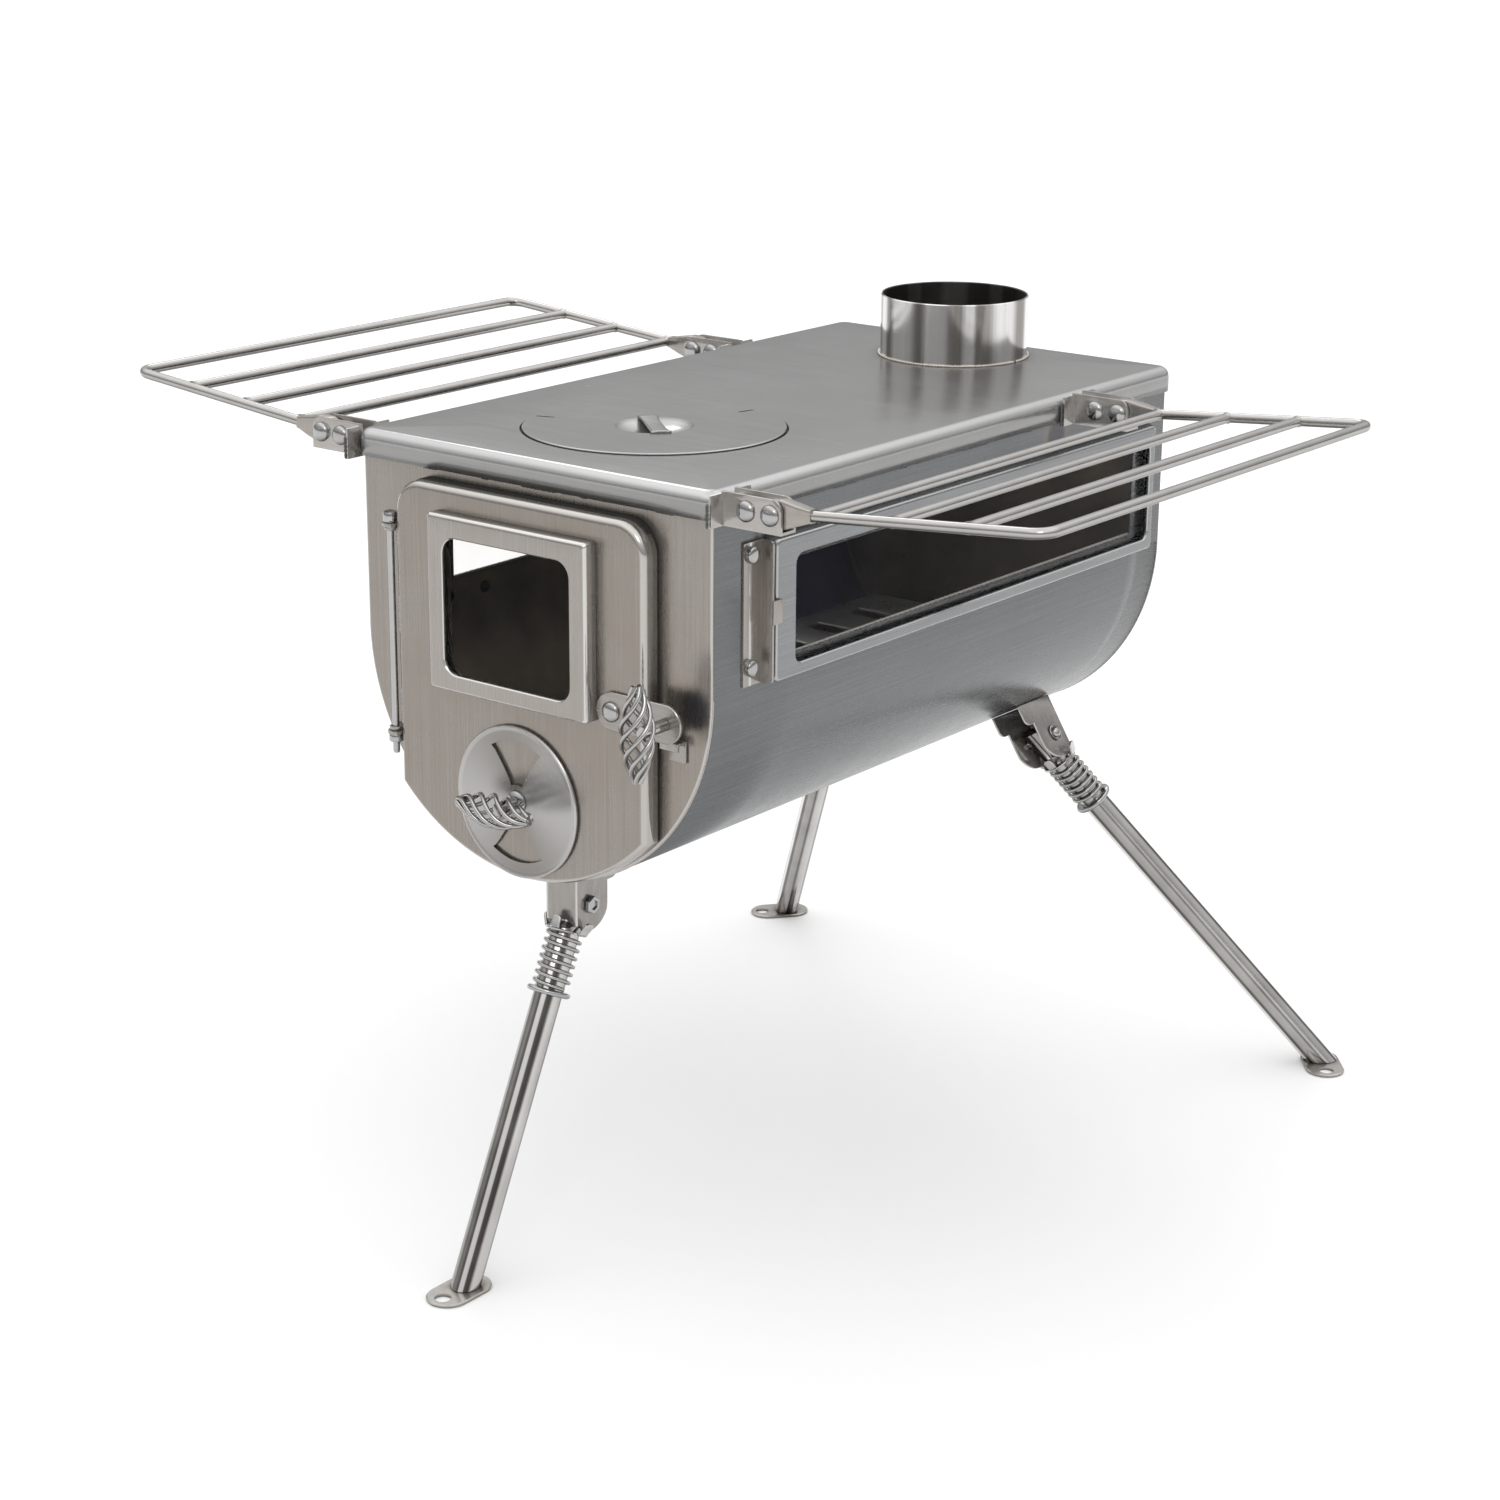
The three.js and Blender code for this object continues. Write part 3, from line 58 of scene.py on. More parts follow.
camera_place = (1.044429, -1.373987, 0.791004)
camera_yaw, camera_pitch, camera_roll = 0.661, -0.310, 0.0075
focal_pixels, frame_pixels, sensor_width = 3081.1, 1500, 36.0


def camera_turn():
    """Columns of the camera's rotation: right, up and back, rolled about the line of sight."""
    ahead = np.array([-np.sin(camera_yaw) * np.cos(camera_pitch),
                      np.cos(camera_yaw) * np.cos(camera_pitch), np.sin(camera_pitch)])
    right = np.cross(ahead, (0, 0, 1))
    right /= np.linalg.norm(right)
    up = np.cross(right, ahead)
    c, s = np.cos(camera_roll), np.sin(camera_roll)
    return np.column_stack([c * right + s * up, c * up - s * right, -ahead])


lens = bpy.data.cameras.new("camera")
lens.sensor_width = sensor_width
lens.lens = sensor_width * focal_pixels / frame_pixels
lens.clip_end = 80
camera = bpy.data.objects.new("camera", lens)
camera.matrix_world = Matrix.Translation(camera_place) @ Matrix(camera_turn().tolist()).to_4x4()
bpy.context.scene.collection.objects.link(camera)
bpy.context.scene.camera = camera
bpy.context.scene.view_settings.view_transform = "Standard"

# ---------------------------------------------------------------- firebox wrap
# One sheet of stainless steel bent round the sides and the bottom, with an opening for the window
# on each side. It is brushed along its length, has a cool cast, and is darkened by fire inside.

mm = 0.001
barrel_height, body_radius, sheet_gauge = 342.0, 120.2, 1.2
wrap_top, wrap_half_length, skirt_bottom = 447.9, 215.5, 435.4
window_cut = (-150.0, 354.0, 182.0, 404.0)
brushed_metal = 0.8
straw_burn, blue_burn = (0.30, 0.24, 0.17, 1), (0.045, 0.05, 0.075, 1)
black_soot, brown_soot, blue_soot = (0.07, 0.068, 0.072, 1), (0.42, 0.35, 0.25, 1), (0.13, 0.13, 0.34, 1)
# the near-black colour of painted shade in gaps, joints and recesses
painted_shade_black = (0.012, 0.011, 0.012, 1)


class Value:
    """A shader socket that takes part in arithmetic: each step adds one Math node."""

    def __init__(self, paint, socket):
        self.paint, self.socket = paint, socket

    def math(self, operation, *terms):
        return self.paint.node("ShaderNodeMath", {"operation": operation}, dict(enumerate(terms)))

    def __add__(self, other):
        return self.math("ADD", self, other)

    def __radd__(self, other):
        return self.math("ADD", other, self)

    def __sub__(self, other):
        return self.math("SUBTRACT", self, other)

    def __rsub__(self, other):
        return self.math("SUBTRACT", other, self)

    def __mul__(self, other):
        return self.math("MULTIPLY", self, other)

    def __rmul__(self, other):
        return self.math("MULTIPLY", other, self)

    def __truediv__(self, other):
        return self.math("DIVIDE", self, other)

    def __pow__(self, other):
        return self.math("POWER", self, other)

    def __abs__(self):
        return self.math("ABSOLUTE", self)


class Paint:
    """A shader under construction, with one method that adds any node."""

    def __init__(self, tree):
        self.tree = tree

    def node(self, kind, settings=None, inputs=None, output=0):
        """Adds a node: its settings first, then the values or links of its sockets."""
        made = self.tree.nodes.new(kind)
        for key, value in (settings or {}).items():
            if key == "stops":
                ramp = made.color_ramp
                for place, tone in value[1:-1]:
                    ramp.elements.new(place).color = tone
                ramp.elements[0].position, ramp.elements[0].color = value[0]
                ramp.elements[-1].position, ramp.elements[-1].color = value[-1]
            else:
                setattr(made, key, value)
        for key, value in (inputs or {}).items():
            self.feed(made.inputs[key], value)
        return Value(self, made.outputs[output])

    def feed(self, socket, value):
        """Links a Value to a socket, or sets a plain number or colour on it."""
        if isinstance(value, Value):
            self.tree.links.new(value.socket, socket)
        else:
            socket.default_value = value

    def place(self):
        """The point's place on the stove, in metres."""
        return self.node("ShaderNodeTexCoord", output="Object")

    def along(self, vector, axis):
        """One coordinate of a vector: "X", "Y" or "Z"."""
        return self.node("ShaderNodeSeparateXYZ", None, {"Vector": vector}, axis)

    def vector(self, operation, first, second, output="Value"):
        """A Vector Math node; most of them give a plain value, such as a distance."""
        return self.node("ShaderNodeVectorMath", {"operation": operation}, {0: first, 1: second}, output)

    def noise(self, vector, stretch, detail=2.0, rough=0.5, offset=(0, 0, 0)):
        """Noise of about 0 to 1, with the coordinates multiplied by stretch, in 1 per metre."""
        moved = self.node("ShaderNodeMapping", None,
                          {"Vector": vector, "Location": offset, "Scale": stretch})
        return self.node("ShaderNodeTexNoise", None,
                         {"Vector": moved, "Scale": 1.0, "Detail": detail, "Roughness": rough})

    def mix(self, low, high, factor):
        """A colour between two others."""
        return self.node("ShaderNodeMix", {"data_type": "RGBA"}, {0: factor, 6: low, 7: high}, 2)

    def band(self, value, low, high):
        """0 below low, 1 above high, and smooth between."""
        return self.node("ShaderNodeMapRange", {"interpolation_type": "SMOOTHSTEP"},
                         {"Value": value, "From Min": low, "From Max": high})

    def near(self, here, centre, radius, ragged=0.0):
        """1 inside about half the radius of a centre in millimetres, 0 outside it."""
        away = self.vector("DISTANCE", here, tuple(c * mm for c in centre))
        return 1 - self.band(away / (radius * mm) + ragged, 0.45, 1.0)

    def relief(self, height, strength, depth=0.0002):
        """A Bump node over a height of about 0 to 1."""
        return self.node("ShaderNodeBump", None,
                         {"Strength": strength, "Distance": depth, "Height": height})


class Finish(Paint):
    """The paint of one material, on its Principled shader."""

    def __init__(self, name):
        self.material = bpy.data.materials.new(name)
        self.material.use_nodes = True
        super().__init__(self.material.node_tree)
        self.shader = self.tree.nodes["Principled BSDF"]

    def set(self, **sockets):
        """Feeds the shader's sockets, named with underscores, and gives the material."""
        for key, value in sockets.items():
            self.feed(self.shader.inputs[key.replace("_", " ").title().replace("Ior", "IOR")], value)
        return self.material


def grey(level, warm=0.0):
    """A colour near grey; warm above 0 turns it to brown, below 0 to blue."""
    return (level * (1 + warm), level, level * (1 - warm), 1)


def steel(name, level, warm=0.0, rough=0.28, grain=(900, 900, 9), depth=0.12, clouds=0.6,
          burns=(), fire=None, painted_shade=None, painted_highlight=None):
    """Brushed stainless: streaks along the grain, clouds of finger marks and welding burns.

    A burn is a centre and a radius; the steel turns dark blue inside it and straw round it, as it
    does beside a weld. Three masks give places on the steel: skin that fire has blackened (brown at
    the door and on the panels, blue over the grate's rear); painted shade, a near-black colour in
    open joints, gaps and recesses; and a painted highlight, a lighter colour with less roughness, on
    edges and folds.
    """
    paint = Finish(name)
    here = paint.place()
    streaks = paint.noise(here, grain, 3.0)
    fine = paint.noise(here, tuple(3 * g for g in grain), 2.0)
    cloud = paint.noise(here, (14, 14, 14), 4.0, 0.6)
    smudge = paint.noise(here, (55, 55, 55), 3.0, 0.6, (3, 1, 7))
    tone = 0.5 + (streaks - 0.5) * 0.9 + (fine - 0.5) * 0.5 + (cloud - 0.5) * clouds
    color = paint.mix(grey(level * 0.80, warm * 1.6), grey(level * 1.2, warm * 0.5), tone)
    roughness = rough + (streaks - 0.5) * 0.12 + (smudge - 0.5) * 0.10 + (cloud - 0.5) * 0.08
    ragged = (smudge - 0.5) * 0.9 + (cloud - 0.5) * 0.6
    for centre, radius in burns:
        color = paint.mix(color, straw_burn, paint.near(here, centre, radius * 1.3, ragged) * 0.4)
        color = paint.mix(color, blue_burn, paint.near(here, centre, radius, ragged) * 0.7)
    # painted highlight: a lighter colour on the masked edges and folds, with less roughness as on polished
    # steel
    if painted_highlight:
        highlit = painted_highlight(paint, here)
        color = paint.mix(color, grey(min(level * 1.8, 0.8), warm * 0.4), highlit)
        roughness = roughness - highlit * rough * 0.5
    if fire:
        burnt = fire(paint, here)
        run = paint.along(here, "Y")
        cold = paint.band(run, -20 * mm, 60 * mm) * (
            1 - paint.band(run, (wrap_half_length - 1.5) * mm, wrap_half_length * mm)) * 0.8
        soot = paint.mix(black_soot, brown_soot, cloud)
        color = paint.mix(color, paint.mix(soot, blue_soot, cold), burnt)
        roughness = roughness + burnt * 0.16
    # painted shade: the masked gaps, joints and recesses turn near black
    if painted_shade:
        color = paint.mix(color, painted_shade_black, painted_shade(paint, here, smudge))
    return paint.set(base_color=color, metallic=brushed_metal, roughness=roughness,
                     normal=paint.relief(streaks * 0.6 + fine * 0.4 + smudge * 0.3, depth))


def piece(name, points, faces, material, body, nodes=()):
    """A smooth mesh from points in millimetres, which rides on a body and may stand for nodes."""
    mesh = bpy.data.meshes.new(name)
    mesh.from_pydata((np.asarray(points, float).reshape(-1, 3) * mm).tolist(), [], faces)
    mesh.polygons.foreach_set("use_smooth", [True] * len(mesh.polygons))
    return finished(mesh, name, material, body, nodes)


def finished(mesh, name, material, body, nodes=()):
    """A mesh's object with its material, body, replaced nodes and slot."""
    mesh.materials.append(material)
    made = bpy.data.objects.new(name, mesh)
    bpy.context.scene.collection.objects.link(made)
    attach(made, body)
    if nodes:
        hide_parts(*nodes)
    return made


def grid_faces(rows, columns, close_rows=False, close_columns=False, start=0):
    """Quads of a grid of points that is stored row by row."""
    r = np.arange(rows if close_rows else rows - 1)[:, None]
    c = np.arange(columns if close_columns else columns - 1)[None, :]
    r1, c1 = (r + 1) % rows, (c + 1) % columns
    quads = np.stack([r * columns + c, r * columns + c1, r1 * columns + c1, r1 * columns + c], -1)
    return quads.reshape(-1, 4) + start


def arc(centre, radius, start, end, steps):
    """Points at a radius round a centre, from one angle in degrees to another."""
    turn = np.radians(np.linspace(start, end, steps))
    return np.column_stack([centre[0] + radius * np.cos(turn), centre[1] + radius * np.sin(turn)])


def gauge(made, thickness, offset=-1):
    """Gives a surface the thickness of its sheet."""
    wall = made.modifiers.new("gauge", "SOLIDIFY")
    wall.thickness = thickness * mm
    wall.offset = offset
    wall.use_even_offset = True
    return made


def from_barrel(paint, here):
    """The distance from the barrel's centre line, or above it from the stove's middle."""
    height = paint.along(here, "Z") - barrel_height * mm
    below = height.math("MINIMUM", height, 0.0)
    return (paint.along(here, "X") ** 2 + below * below) ** 0.5


def fire_side(paint, here):
    """1 on the wrap's inner face."""
    return 1 - paint.band(from_barrel(paint, here), (body_radius - 0.8) * mm, (body_radius - 0.3) * mm)


def skirt_joint_and_shade(paint, here, smudge):
    """A dark, broken line right under the top plate's skirt: the joint, and painted shade under the skirt's
    lip.
    """
    height = paint.along(here, "Z") + (smudge - 0.5) * 0.003
    broken = paint.band(paint.noise(here, (45, 45, 0), 3.0, 0.6, (5, 2, 0)), 0.42, 0.62)
    return paint.band(height, (skirt_bottom - 1.3) * mm, (skirt_bottom - 0.5) * mm) * (0.35 + broken * 0.55)


def firebox_wrap():
    """The U section (side, half circle, side) carried along Y, less the cells of the windows."""
    side = np.array([wrap_top, skirt_bottom - 3, window_cut[3], window_cut[1]])
    bend = arc((0, barrel_height), body_radius, 0, -180, 97)
    right = np.column_stack([np.full(len(side), body_radius), side])
    section = np.concatenate([right, bend, right[::-1] * (-1, 1)])
    along = np.array([-wrap_half_length, window_cut[0], window_cut[2], wrap_half_length])
    points = np.stack([np.column_stack([section[:, 0], np.full(len(section), y), section[:, 1]])
                       for y in along])
    faces = grid_faces(len(along), len(section))
    centre = points.reshape(-1, 3)[faces].mean(axis=1)
    inside = ((centre[:, 1] > window_cut[0]) & (centre[:, 1] < window_cut[2])
              & (centre[:, 2] > window_cut[1]) & (centre[:, 2] < window_cut[3]))
    return piece("wrap", points, faces[~inside].tolist(), wrap_steel, "stove",
                 ["firebox_wrap"])


wrap_steel = steel("wrap_steel", 0.16, -0.03, 0.27, (700, 8, 700), fire=fire_side, painted_shade=skirt_joint_and_shade,
                   burns=(((63, 150, 240), 34), ((-63, 150, 240), 34), ((0, -178, 222), 22),
                          ((120, 97, 428), 12), ((-120, 97, 428), 12)))
gauge(firebox_wrap(), sheet_gauge)

# ---------------------------------------------------------------- end panels
# A flat panel is welded into each end of the wrap, and the front one has the mouth cut in it. The
# panel's edge is ground round, and a bright line is painted on it as a highlight. Both are brushed upright.

panel_half_length = 217.0


def barrel(half_width, radius, top, corner, steps=48):
    """Straight sides, a bottom concentric with the barrel, and two round upper corners."""
    side = np.degrees(np.arccos(min(half_width / radius, 1)))
    bottom = arc((0, barrel_height), radius, 180 + side, 360 - side, steps)
    right = arc((half_width - corner, top - corner), corner, 0, 90, 8)
    left = arc((-half_width + corner, top - corner), corner, 90, 180, 8)
    return np.concatenate([bottom, right, left])


def in_xz(loops):
    """Pairs of an outline in X and Z and a Y, as one stack of loops."""
    return np.stack([np.column_stack([o[:, 0], np.full(len(o), y), o[:, 1]]) for o, y in loops])


def sheet(name, walls, thickness, facing, material, body, nodes=(), capped=()):
    """A pressed sheet. Each wall is a stack of loops joined ring to ring; one flat face is filled
    between the walls' last loops, and the gauge goes inwards from there."""
    points, faces, edges, start = [], [], [], 0
    for k, wall in enumerate(walls):
        rows, count = wall.shape[:2]
        points.append(wall.reshape(-1, 3))
        faces += grid_faces(rows, count, close_columns=True, start=start).tolist()
        if k in capped:
            faces.append(list(range(start, start + count)))
        rim = start + (rows - 1) * count + np.arange(count)
        edges += list(zip(rim.tolist(), np.roll(rim, -1).tolist()))
        start += rows * count
    mesh = bpy.data.meshes.new(name)
    mesh.from_pydata((np.concatenate(points) * mm).tolist(), [], faces)
    work = bmesh.new()
    work.from_mesh(mesh)
    work.verts.ensure_lookup_table()
    rims = [work.edges.get((work.verts[a], work.verts[b])) for a, b in edges]
    filled = bmesh.ops.triangle_fill(work, edges=rims, use_beauty=True, use_dissolve=False)
    flats = [g for g in filled["geom"] if isinstance(g, bmesh.types.BMFace)]
    bmesh.ops.recalc_face_normals(work, faces=work.faces)
    if sum(f.normal.dot(Vector(facing)) for f in flats) < 0:
        bmesh.ops.reverse_faces(work, faces=work.faces)
    work.to_mesh(mesh)
    work.free()
    mesh.polygons.foreach_set("use_smooth", [True] * len(mesh.polygons))
    mesh.set_sharp_from_angle(angle=np.radians(30))
    return gauge(finished(mesh, name, material, body, nodes), thickness)


def behind_panel(paint, here):
    """1 on the face that looks into the firebox: the distance from the stove's middle along Y."""
    return 1 - paint.band(abs(paint.along(here, "Y")), (panel_half_length - 0.9) * mm,
                          (panel_half_length - 0.5) * mm)


def ground_edge(paint, here):
    """The painted highlight: 0.9 on the panel's ground edge."""
    return paint.band(from_barrel(paint, here), (body_radius - 1.5) * mm, (body_radius - 0.9) * mm) * 0.9


def end_panel(name, face, inward, node, mouth=None):
    """Loops of the barrel outline that turn a quarter circle at the edge; inward is +1 towards +Y."""
    edge = 1.0
    loops = [(barrel(body_radius, body_radius, wrap_top, 0.05), face + inward * 1.4)] + [
        (barrel(body_radius - edge + edge * np.sin(t), body_radius - edge + edge * np.sin(t),
                wrap_top, 0.05), face + inward * (edge - edge * np.cos(t)))
        for t in np.radians([90, 60, 30, 0])]
    walls = [in_xz(loops)]
    if mouth is not None:
        walls.append(in_xz([(mouth, face + inward * 6.0), (mouth, face)]))
    return sheet(name, walls, sheet_gauge, (0, -inward, 0), front_steel, "stove", [node])


front_steel = steel("front_steel", 0.265, 0.10, 0.28, (900, 900, 9), fire=behind_panel, painted_shade=skirt_joint_and_shade,
                    painted_highlight=ground_edge, clouds=0.8,
                    burns=(((110, -217, 336), 15), ((-92, -217, 400), 7),
                           ((-92, -217, 289), 7), ((94, -217, 320), 7)))
end_panel("front_plate", -panel_half_length, 1, "front_panel", barrel(70, 102, 413, 12))
end_panel("back_plate", panel_half_length, -1, "back_panel")

# ---------------------------------------------------------------- welds
# The panels, the skirt and the windows' sills are welded with small beads, which stay rippled
# and a little straw-coloured.


def closed_ends(rows, columns, start=0):
    """One face over the first ring and one over the last."""
    first = (start + np.arange(columns))[::-1].tolist()
    last = (start + (rows - 1) * columns + np.arange(columns)).tolist()
    return [first, last]


def outward(made, angle=35):
    """Turns the faces outwards and keeps edges sharper than the angle crisp."""
    mesh = bmesh.new()
    mesh.from_mesh(made.data)
    bmesh.ops.recalc_face_normals(mesh, faces=mesh.faces)
    mesh.to_mesh(made.data)
    mesh.free()
    made.data.set_sharp_from_angle(angle=np.radians(angle))
    return made


def sweep(path, radius, reference, sides=12):
    """Rings of a round section carried along a path; the reference is never along the path."""
    path = np.asarray(path, float)
    ahead = np.gradient(path, axis=0)
    ahead /= np.linalg.norm(ahead, axis=1, keepdims=True)
    side = np.cross(ahead, np.broadcast_to(reference, path.shape))
    side /= np.linalg.norm(side, axis=1, keepdims=True)
    up = np.cross(side, ahead)
    turn = np.linspace(0, 2 * np.pi, sides, endpoint=False)[None, :, None]
    radius = np.broadcast_to(np.asarray(radius, float).reshape(-1, 1, 1), (len(path), 1, 1))
    return path[:, None] + radius * (np.cos(turn) * side[:, None] + np.sin(turn) * up[:, None])


def tubes(name, sweeps, material, body, nodes=()):
    """One piece of several stacks of rings, each closed at its ends."""
    points, faces, start = [], [], 0
    for rings in sweeps:
        rows, sides = rings.shape[:2]
        points.append(rings.reshape(-1, 3))
        faces += grid_faces(rows, sides, close_columns=True, start=start).tolist()
        faces += closed_ends(rows, sides, start)
        start += rows * sides
    return outward(piece(name, np.concatenate(points), faces, material, body, nodes), 50)


def bead(path, radius, reference, pitch, sides=8):
    """A weld: a low rod whose radius swells by a cosine once a pitch, as the weld pool froze."""
    path = np.asarray(path, float)
    run = np.concatenate([[0], np.cumsum(np.linalg.norm(np.diff(path, axis=0), axis=1))])
    even = np.linspace(0, run[-1], max(int(run[-1] / pitch * 6), 8))
    path = np.column_stack([np.interp(even, run, path[:, k]) for k in range(3)])
    swell = radius * (0.86 + 0.14 * np.cos(2 * np.pi * even / pitch)) * (
        1 + 0.12 * np.sin(even * 1.7) * np.sin(even * 0.37 + 1))
    ends = np.clip(np.minimum(even, run[-1] - even) / radius, 0.15, 1)
    return sweep(path, swell * np.sqrt(ends), reference, sides)


weld_steel = steel("weld_steel", 0.42, 0.05, 0.30, (400, 400, 400), 0.3)
dark_weld = steel("dark_weld", 0.10, 0.05, 0.40, (400, 400, 400), 0.4)
straw_weld = steel("straw_weld", 0.46, 0.09, 0.32, (400, 400, 400), 0.3)
seam_line = arc((0, barrel_height), body_radius - 0.1, 0, -180, 120)
for end, y in (("front", -215.8), ("back", 215.8)):
    path = np.column_stack([seam_line[:, 0], np.full(120, y), seam_line[:, 1]])
    tubes(f"{end}_seam", [bead(path, 0.45, (0, 1, 0), 1.6)], weld_steel, "stove")

tacks = []
for hand in (1, -1):
    for start, length in ((-196, 9), (-118, 22), (-58, 6), (0, 26), (62, 8), (132, 14), (188, 9)):
        line = np.linspace((hand * 120.6, start, 434.6), (hand * 120.6, start + length, 434.6), 8)
        tacks.append(bead(line, 0.8, (0, 0, 1), 2.4))
for start, length in ((-76, 10), (-34, 5), (-6, 24), (34, 5), (84, 12)):
    line = np.linspace((start, -217.4, 434.6), (start + length, -217.4, 434.6), 8)
    tacks.append(bead(line, 0.8, (0, 0, 1), 2.4))
tubes("skirt_tacks", tacks, dark_weld, "stove")

sills = [bead(np.linspace((hand * 119.6, window_cut[0] + 1, window_cut[1]),
                          (hand * 119.6, window_cut[2] - 1, window_cut[1]), 60), 0.9, (0, 0, 1), 4.6)
         for hand in (1, -1)]
tubes("window_sills", sills, straw_weld, "stove")

# ---------------------------------------------------------------- grate
# A slotted sheet on two strips that stand in the round bottom. It is paler than the walls round it.


def dressed(node, material, body, bevel=0.35, name=None):
    """A CAD solid with its edges broken by a small bevel, in place of the bare node."""
    mesh = frame["nodes"][node].data.copy()
    mesh.materials.clear()
    work = bmesh.new()
    work.from_mesh(mesh)
    bmesh.ops.remove_doubles(work, verts=work.verts, dist=1e-6)
    bmesh.ops.dissolve_limit(work, angle_limit=np.radians(1), verts=work.verts, edges=work.edges)
    for face in work.faces:
        face.smooth = True
    work.to_mesh(mesh)
    work.free()
    made = finished(mesh, name or node + "_steel", material, body, [node])
    edge = made.modifiers.new("broken_edges", "BEVEL")
    edge.width = bevel * mm
    edge.segments = 2
    edge.limit_method = "ANGLE"
    edge.angle_limit = np.radians(38)
    edge.harden_normals = True
    return made


grate_steel = steel("grate_steel", 0.50, 0.0, 0.30)
for node in ("fire_grate", "grate_rail_right", "grate_rail_left"):
    dressed(node, grate_steel, "stove", 0.3)

# ---------------------------------------------------------------- screws inside
# Two round-headed screws hold the side window's lower rail from inside. Fire has blackened them.


def turned(name, profile, centre, axis, material, body, nodes=(), count=48, ring=False):
    """A profile of [radius, height] turned round an axis. A ring's profile is a closed loop; any
    other is closed at its two ends."""
    axis = np.asarray(axis, float) / np.linalg.norm(axis)
    side = np.cross(axis, (0.31, 0.52, 0.79))
    side /= np.linalg.norm(side)
    other = np.cross(axis, side)
    turn = np.linspace(0, 2 * np.pi, count, endpoint=False)
    spokes = np.cos(turn)[:, None] * side + np.sin(turn)[:, None] * other
    profile = np.asarray(profile, float)
    points = (np.asarray(centre, float) + profile[:, 1, None, None] * axis
              + profile[:, 0, None, None] * spokes)
    faces = grid_faces(len(points), count, close_rows=ring, close_columns=True).tolist()
    if not ring:
        faces += closed_ends(len(points), count)
    return outward(piece(name, points, faces, material, body, nodes))


def domed(radius, height, rim=0.35):
    """A round head: a thin straight rim under a quarter ellipse."""
    turn = np.radians(np.linspace(8, 88, 9))
    cap = np.column_stack([radius * np.cos(turn), rim + (height - rim) * np.sin(turn)])
    return np.concatenate([[(radius * 0.5, -0.3), (radius * 0.98, -0.3), (radius, rim)], cap])


screw_steel = steel("screw_steel", 0.06, 0.0, 0.32, (200, 200, 200))
for label, y in (("a", -154.5), ("b", -124.9)):
    turned(f"inner_screw_{label}", domed(3.6, 2.2), (-118.9, y, 343.5), (1, 0, 0), screw_steel,
           "stove", count=28)

# ---------------------------------------------------------------- top plate
# A shallow tray turned upside down: one sheet folded down on all four sides, with a stepped seat
# for the lid and a hole for the flue collar. A highlight is painted along its folded edges.

plate_top, plate_half = 450.0, (123.7, 220.8)
plate_edge, plate_corner, plate_gauge = 6.0, 9.0, 1.6
lid_y, lid_radius, lid_seam = -117.0, 71.4, 0.9
flue_y, flue_radius, flue_top = 167.2, 44.5, 486.8


def round_rect(x0, y0, x1, y1, radius, steps=7):
    """A rectangle's outline with round corners, counter-clockwise from the lower right corner."""
    corners = [(x1 - radius, y0 + radius, -90), (x1 - radius, y1 - radius, 0),
               (x0 + radius, y1 - radius, 90), (x0 + radius, y0 + radius, 180)]
    return np.concatenate([arc((x, y), radius, a, a + 90, steps) for x, y, a in corners])


def circle(x, y, radius, count=96):
    """A closed circle, as an outline."""
    return arc((x, y), radius, 0, 360 - 360 / count, count)


def in_xy(loops):
    """Pairs of an outline in X and Y and a Z, as one stack of loops."""
    return np.stack([np.column_stack([o, np.full(len(o), z)]) for o, z in loops])


def plate_loop(inset):
    """The tray's outline pulled in from its edge."""
    return round_rect(-plate_half[0] + inset, -plate_half[1] + inset,
                      plate_half[0] - inset, plate_half[1] - inset, plate_corner - inset, 9)


def folded_edge(paint, here):
    """The painted highlight: up to 0.8 on the round of the fold, from the height and the distance to the
    plate's sides.
    """
    fold = plate_top - plate_edge
    low = paint.band(paint.along(here, "Z"), (fold - 1) * mm, (fold + 2) * mm)
    side, end = [paint.band(abs(paint.along(here, axis)), (half - plate_edge) * mm,
                            (half - plate_edge + 2) * mm) for axis, half in zip("XY", plate_half)]
    return low * side.math("MAXIMUM", side, end) * 0.8


def away_from(paint, here, y):
    """The level distance from the upright line through the middle of the stove at a Y."""
    return paint.vector("DISTANCE", paint.vector("MULTIPLY", here, (1, 1, 0), 0), (0, y * mm, 0))


def collar_foot_and_seat_shade(paint, here, smudge):
    """Painted shade: a faint dark halo round the flue collar's foot, and a dark ring on the seat in the gap
    round the lid.
    """
    halo = 1 - paint.band(away_from(paint, here, flue_y) + (smudge - 0.5) * 0.01,
                          (flue_radius + 0.5) * mm, (flue_radius + 8.5) * mm)
    seat = 1 - paint.band(away_from(paint, here, lid_y), (lid_radius + lid_seam) * mm,
                          (lid_radius + lid_seam + 0.2) * mm)
    return halo.math("MAXIMUM", halo * 0.35, seat * 0.95)


plate_steel = steel("plate_steel", 0.28, 0.012, 0.23, (9, 700, 700), 0.06, clouds=0.5, painted_highlight=folded_edge,
                    painted_shade=collar_foot_and_seat_shade)
skirt = [(plate_loop(0), skirt_bottom), (plate_loop(0), plate_top - plate_edge)] + [
    (plate_loop(plate_edge * (1 - np.cos(t))), plate_top - plate_edge * (1 - np.sin(t)))
    for t in np.radians([15, 30, 45, 60, 75, 90])]
seat_radius, ledge, seat_depth = lid_radius + lid_seam, 6.0, 2.3
seat = [(circle(0, lid_y, seat_radius - ledge), plate_top - seat_depth),
        (circle(0, lid_y, seat_radius), plate_top - seat_depth),
        (circle(0, lid_y, seat_radius), plate_top - 0.35), (circle(0, lid_y, seat_radius + 0.3), plate_top)]
flue_hole = [(circle(0, flue_y, flue_radius + 0.3), plate_top - 0.8),
             (circle(0, flue_y, flue_radius + 0.3), plate_top)]
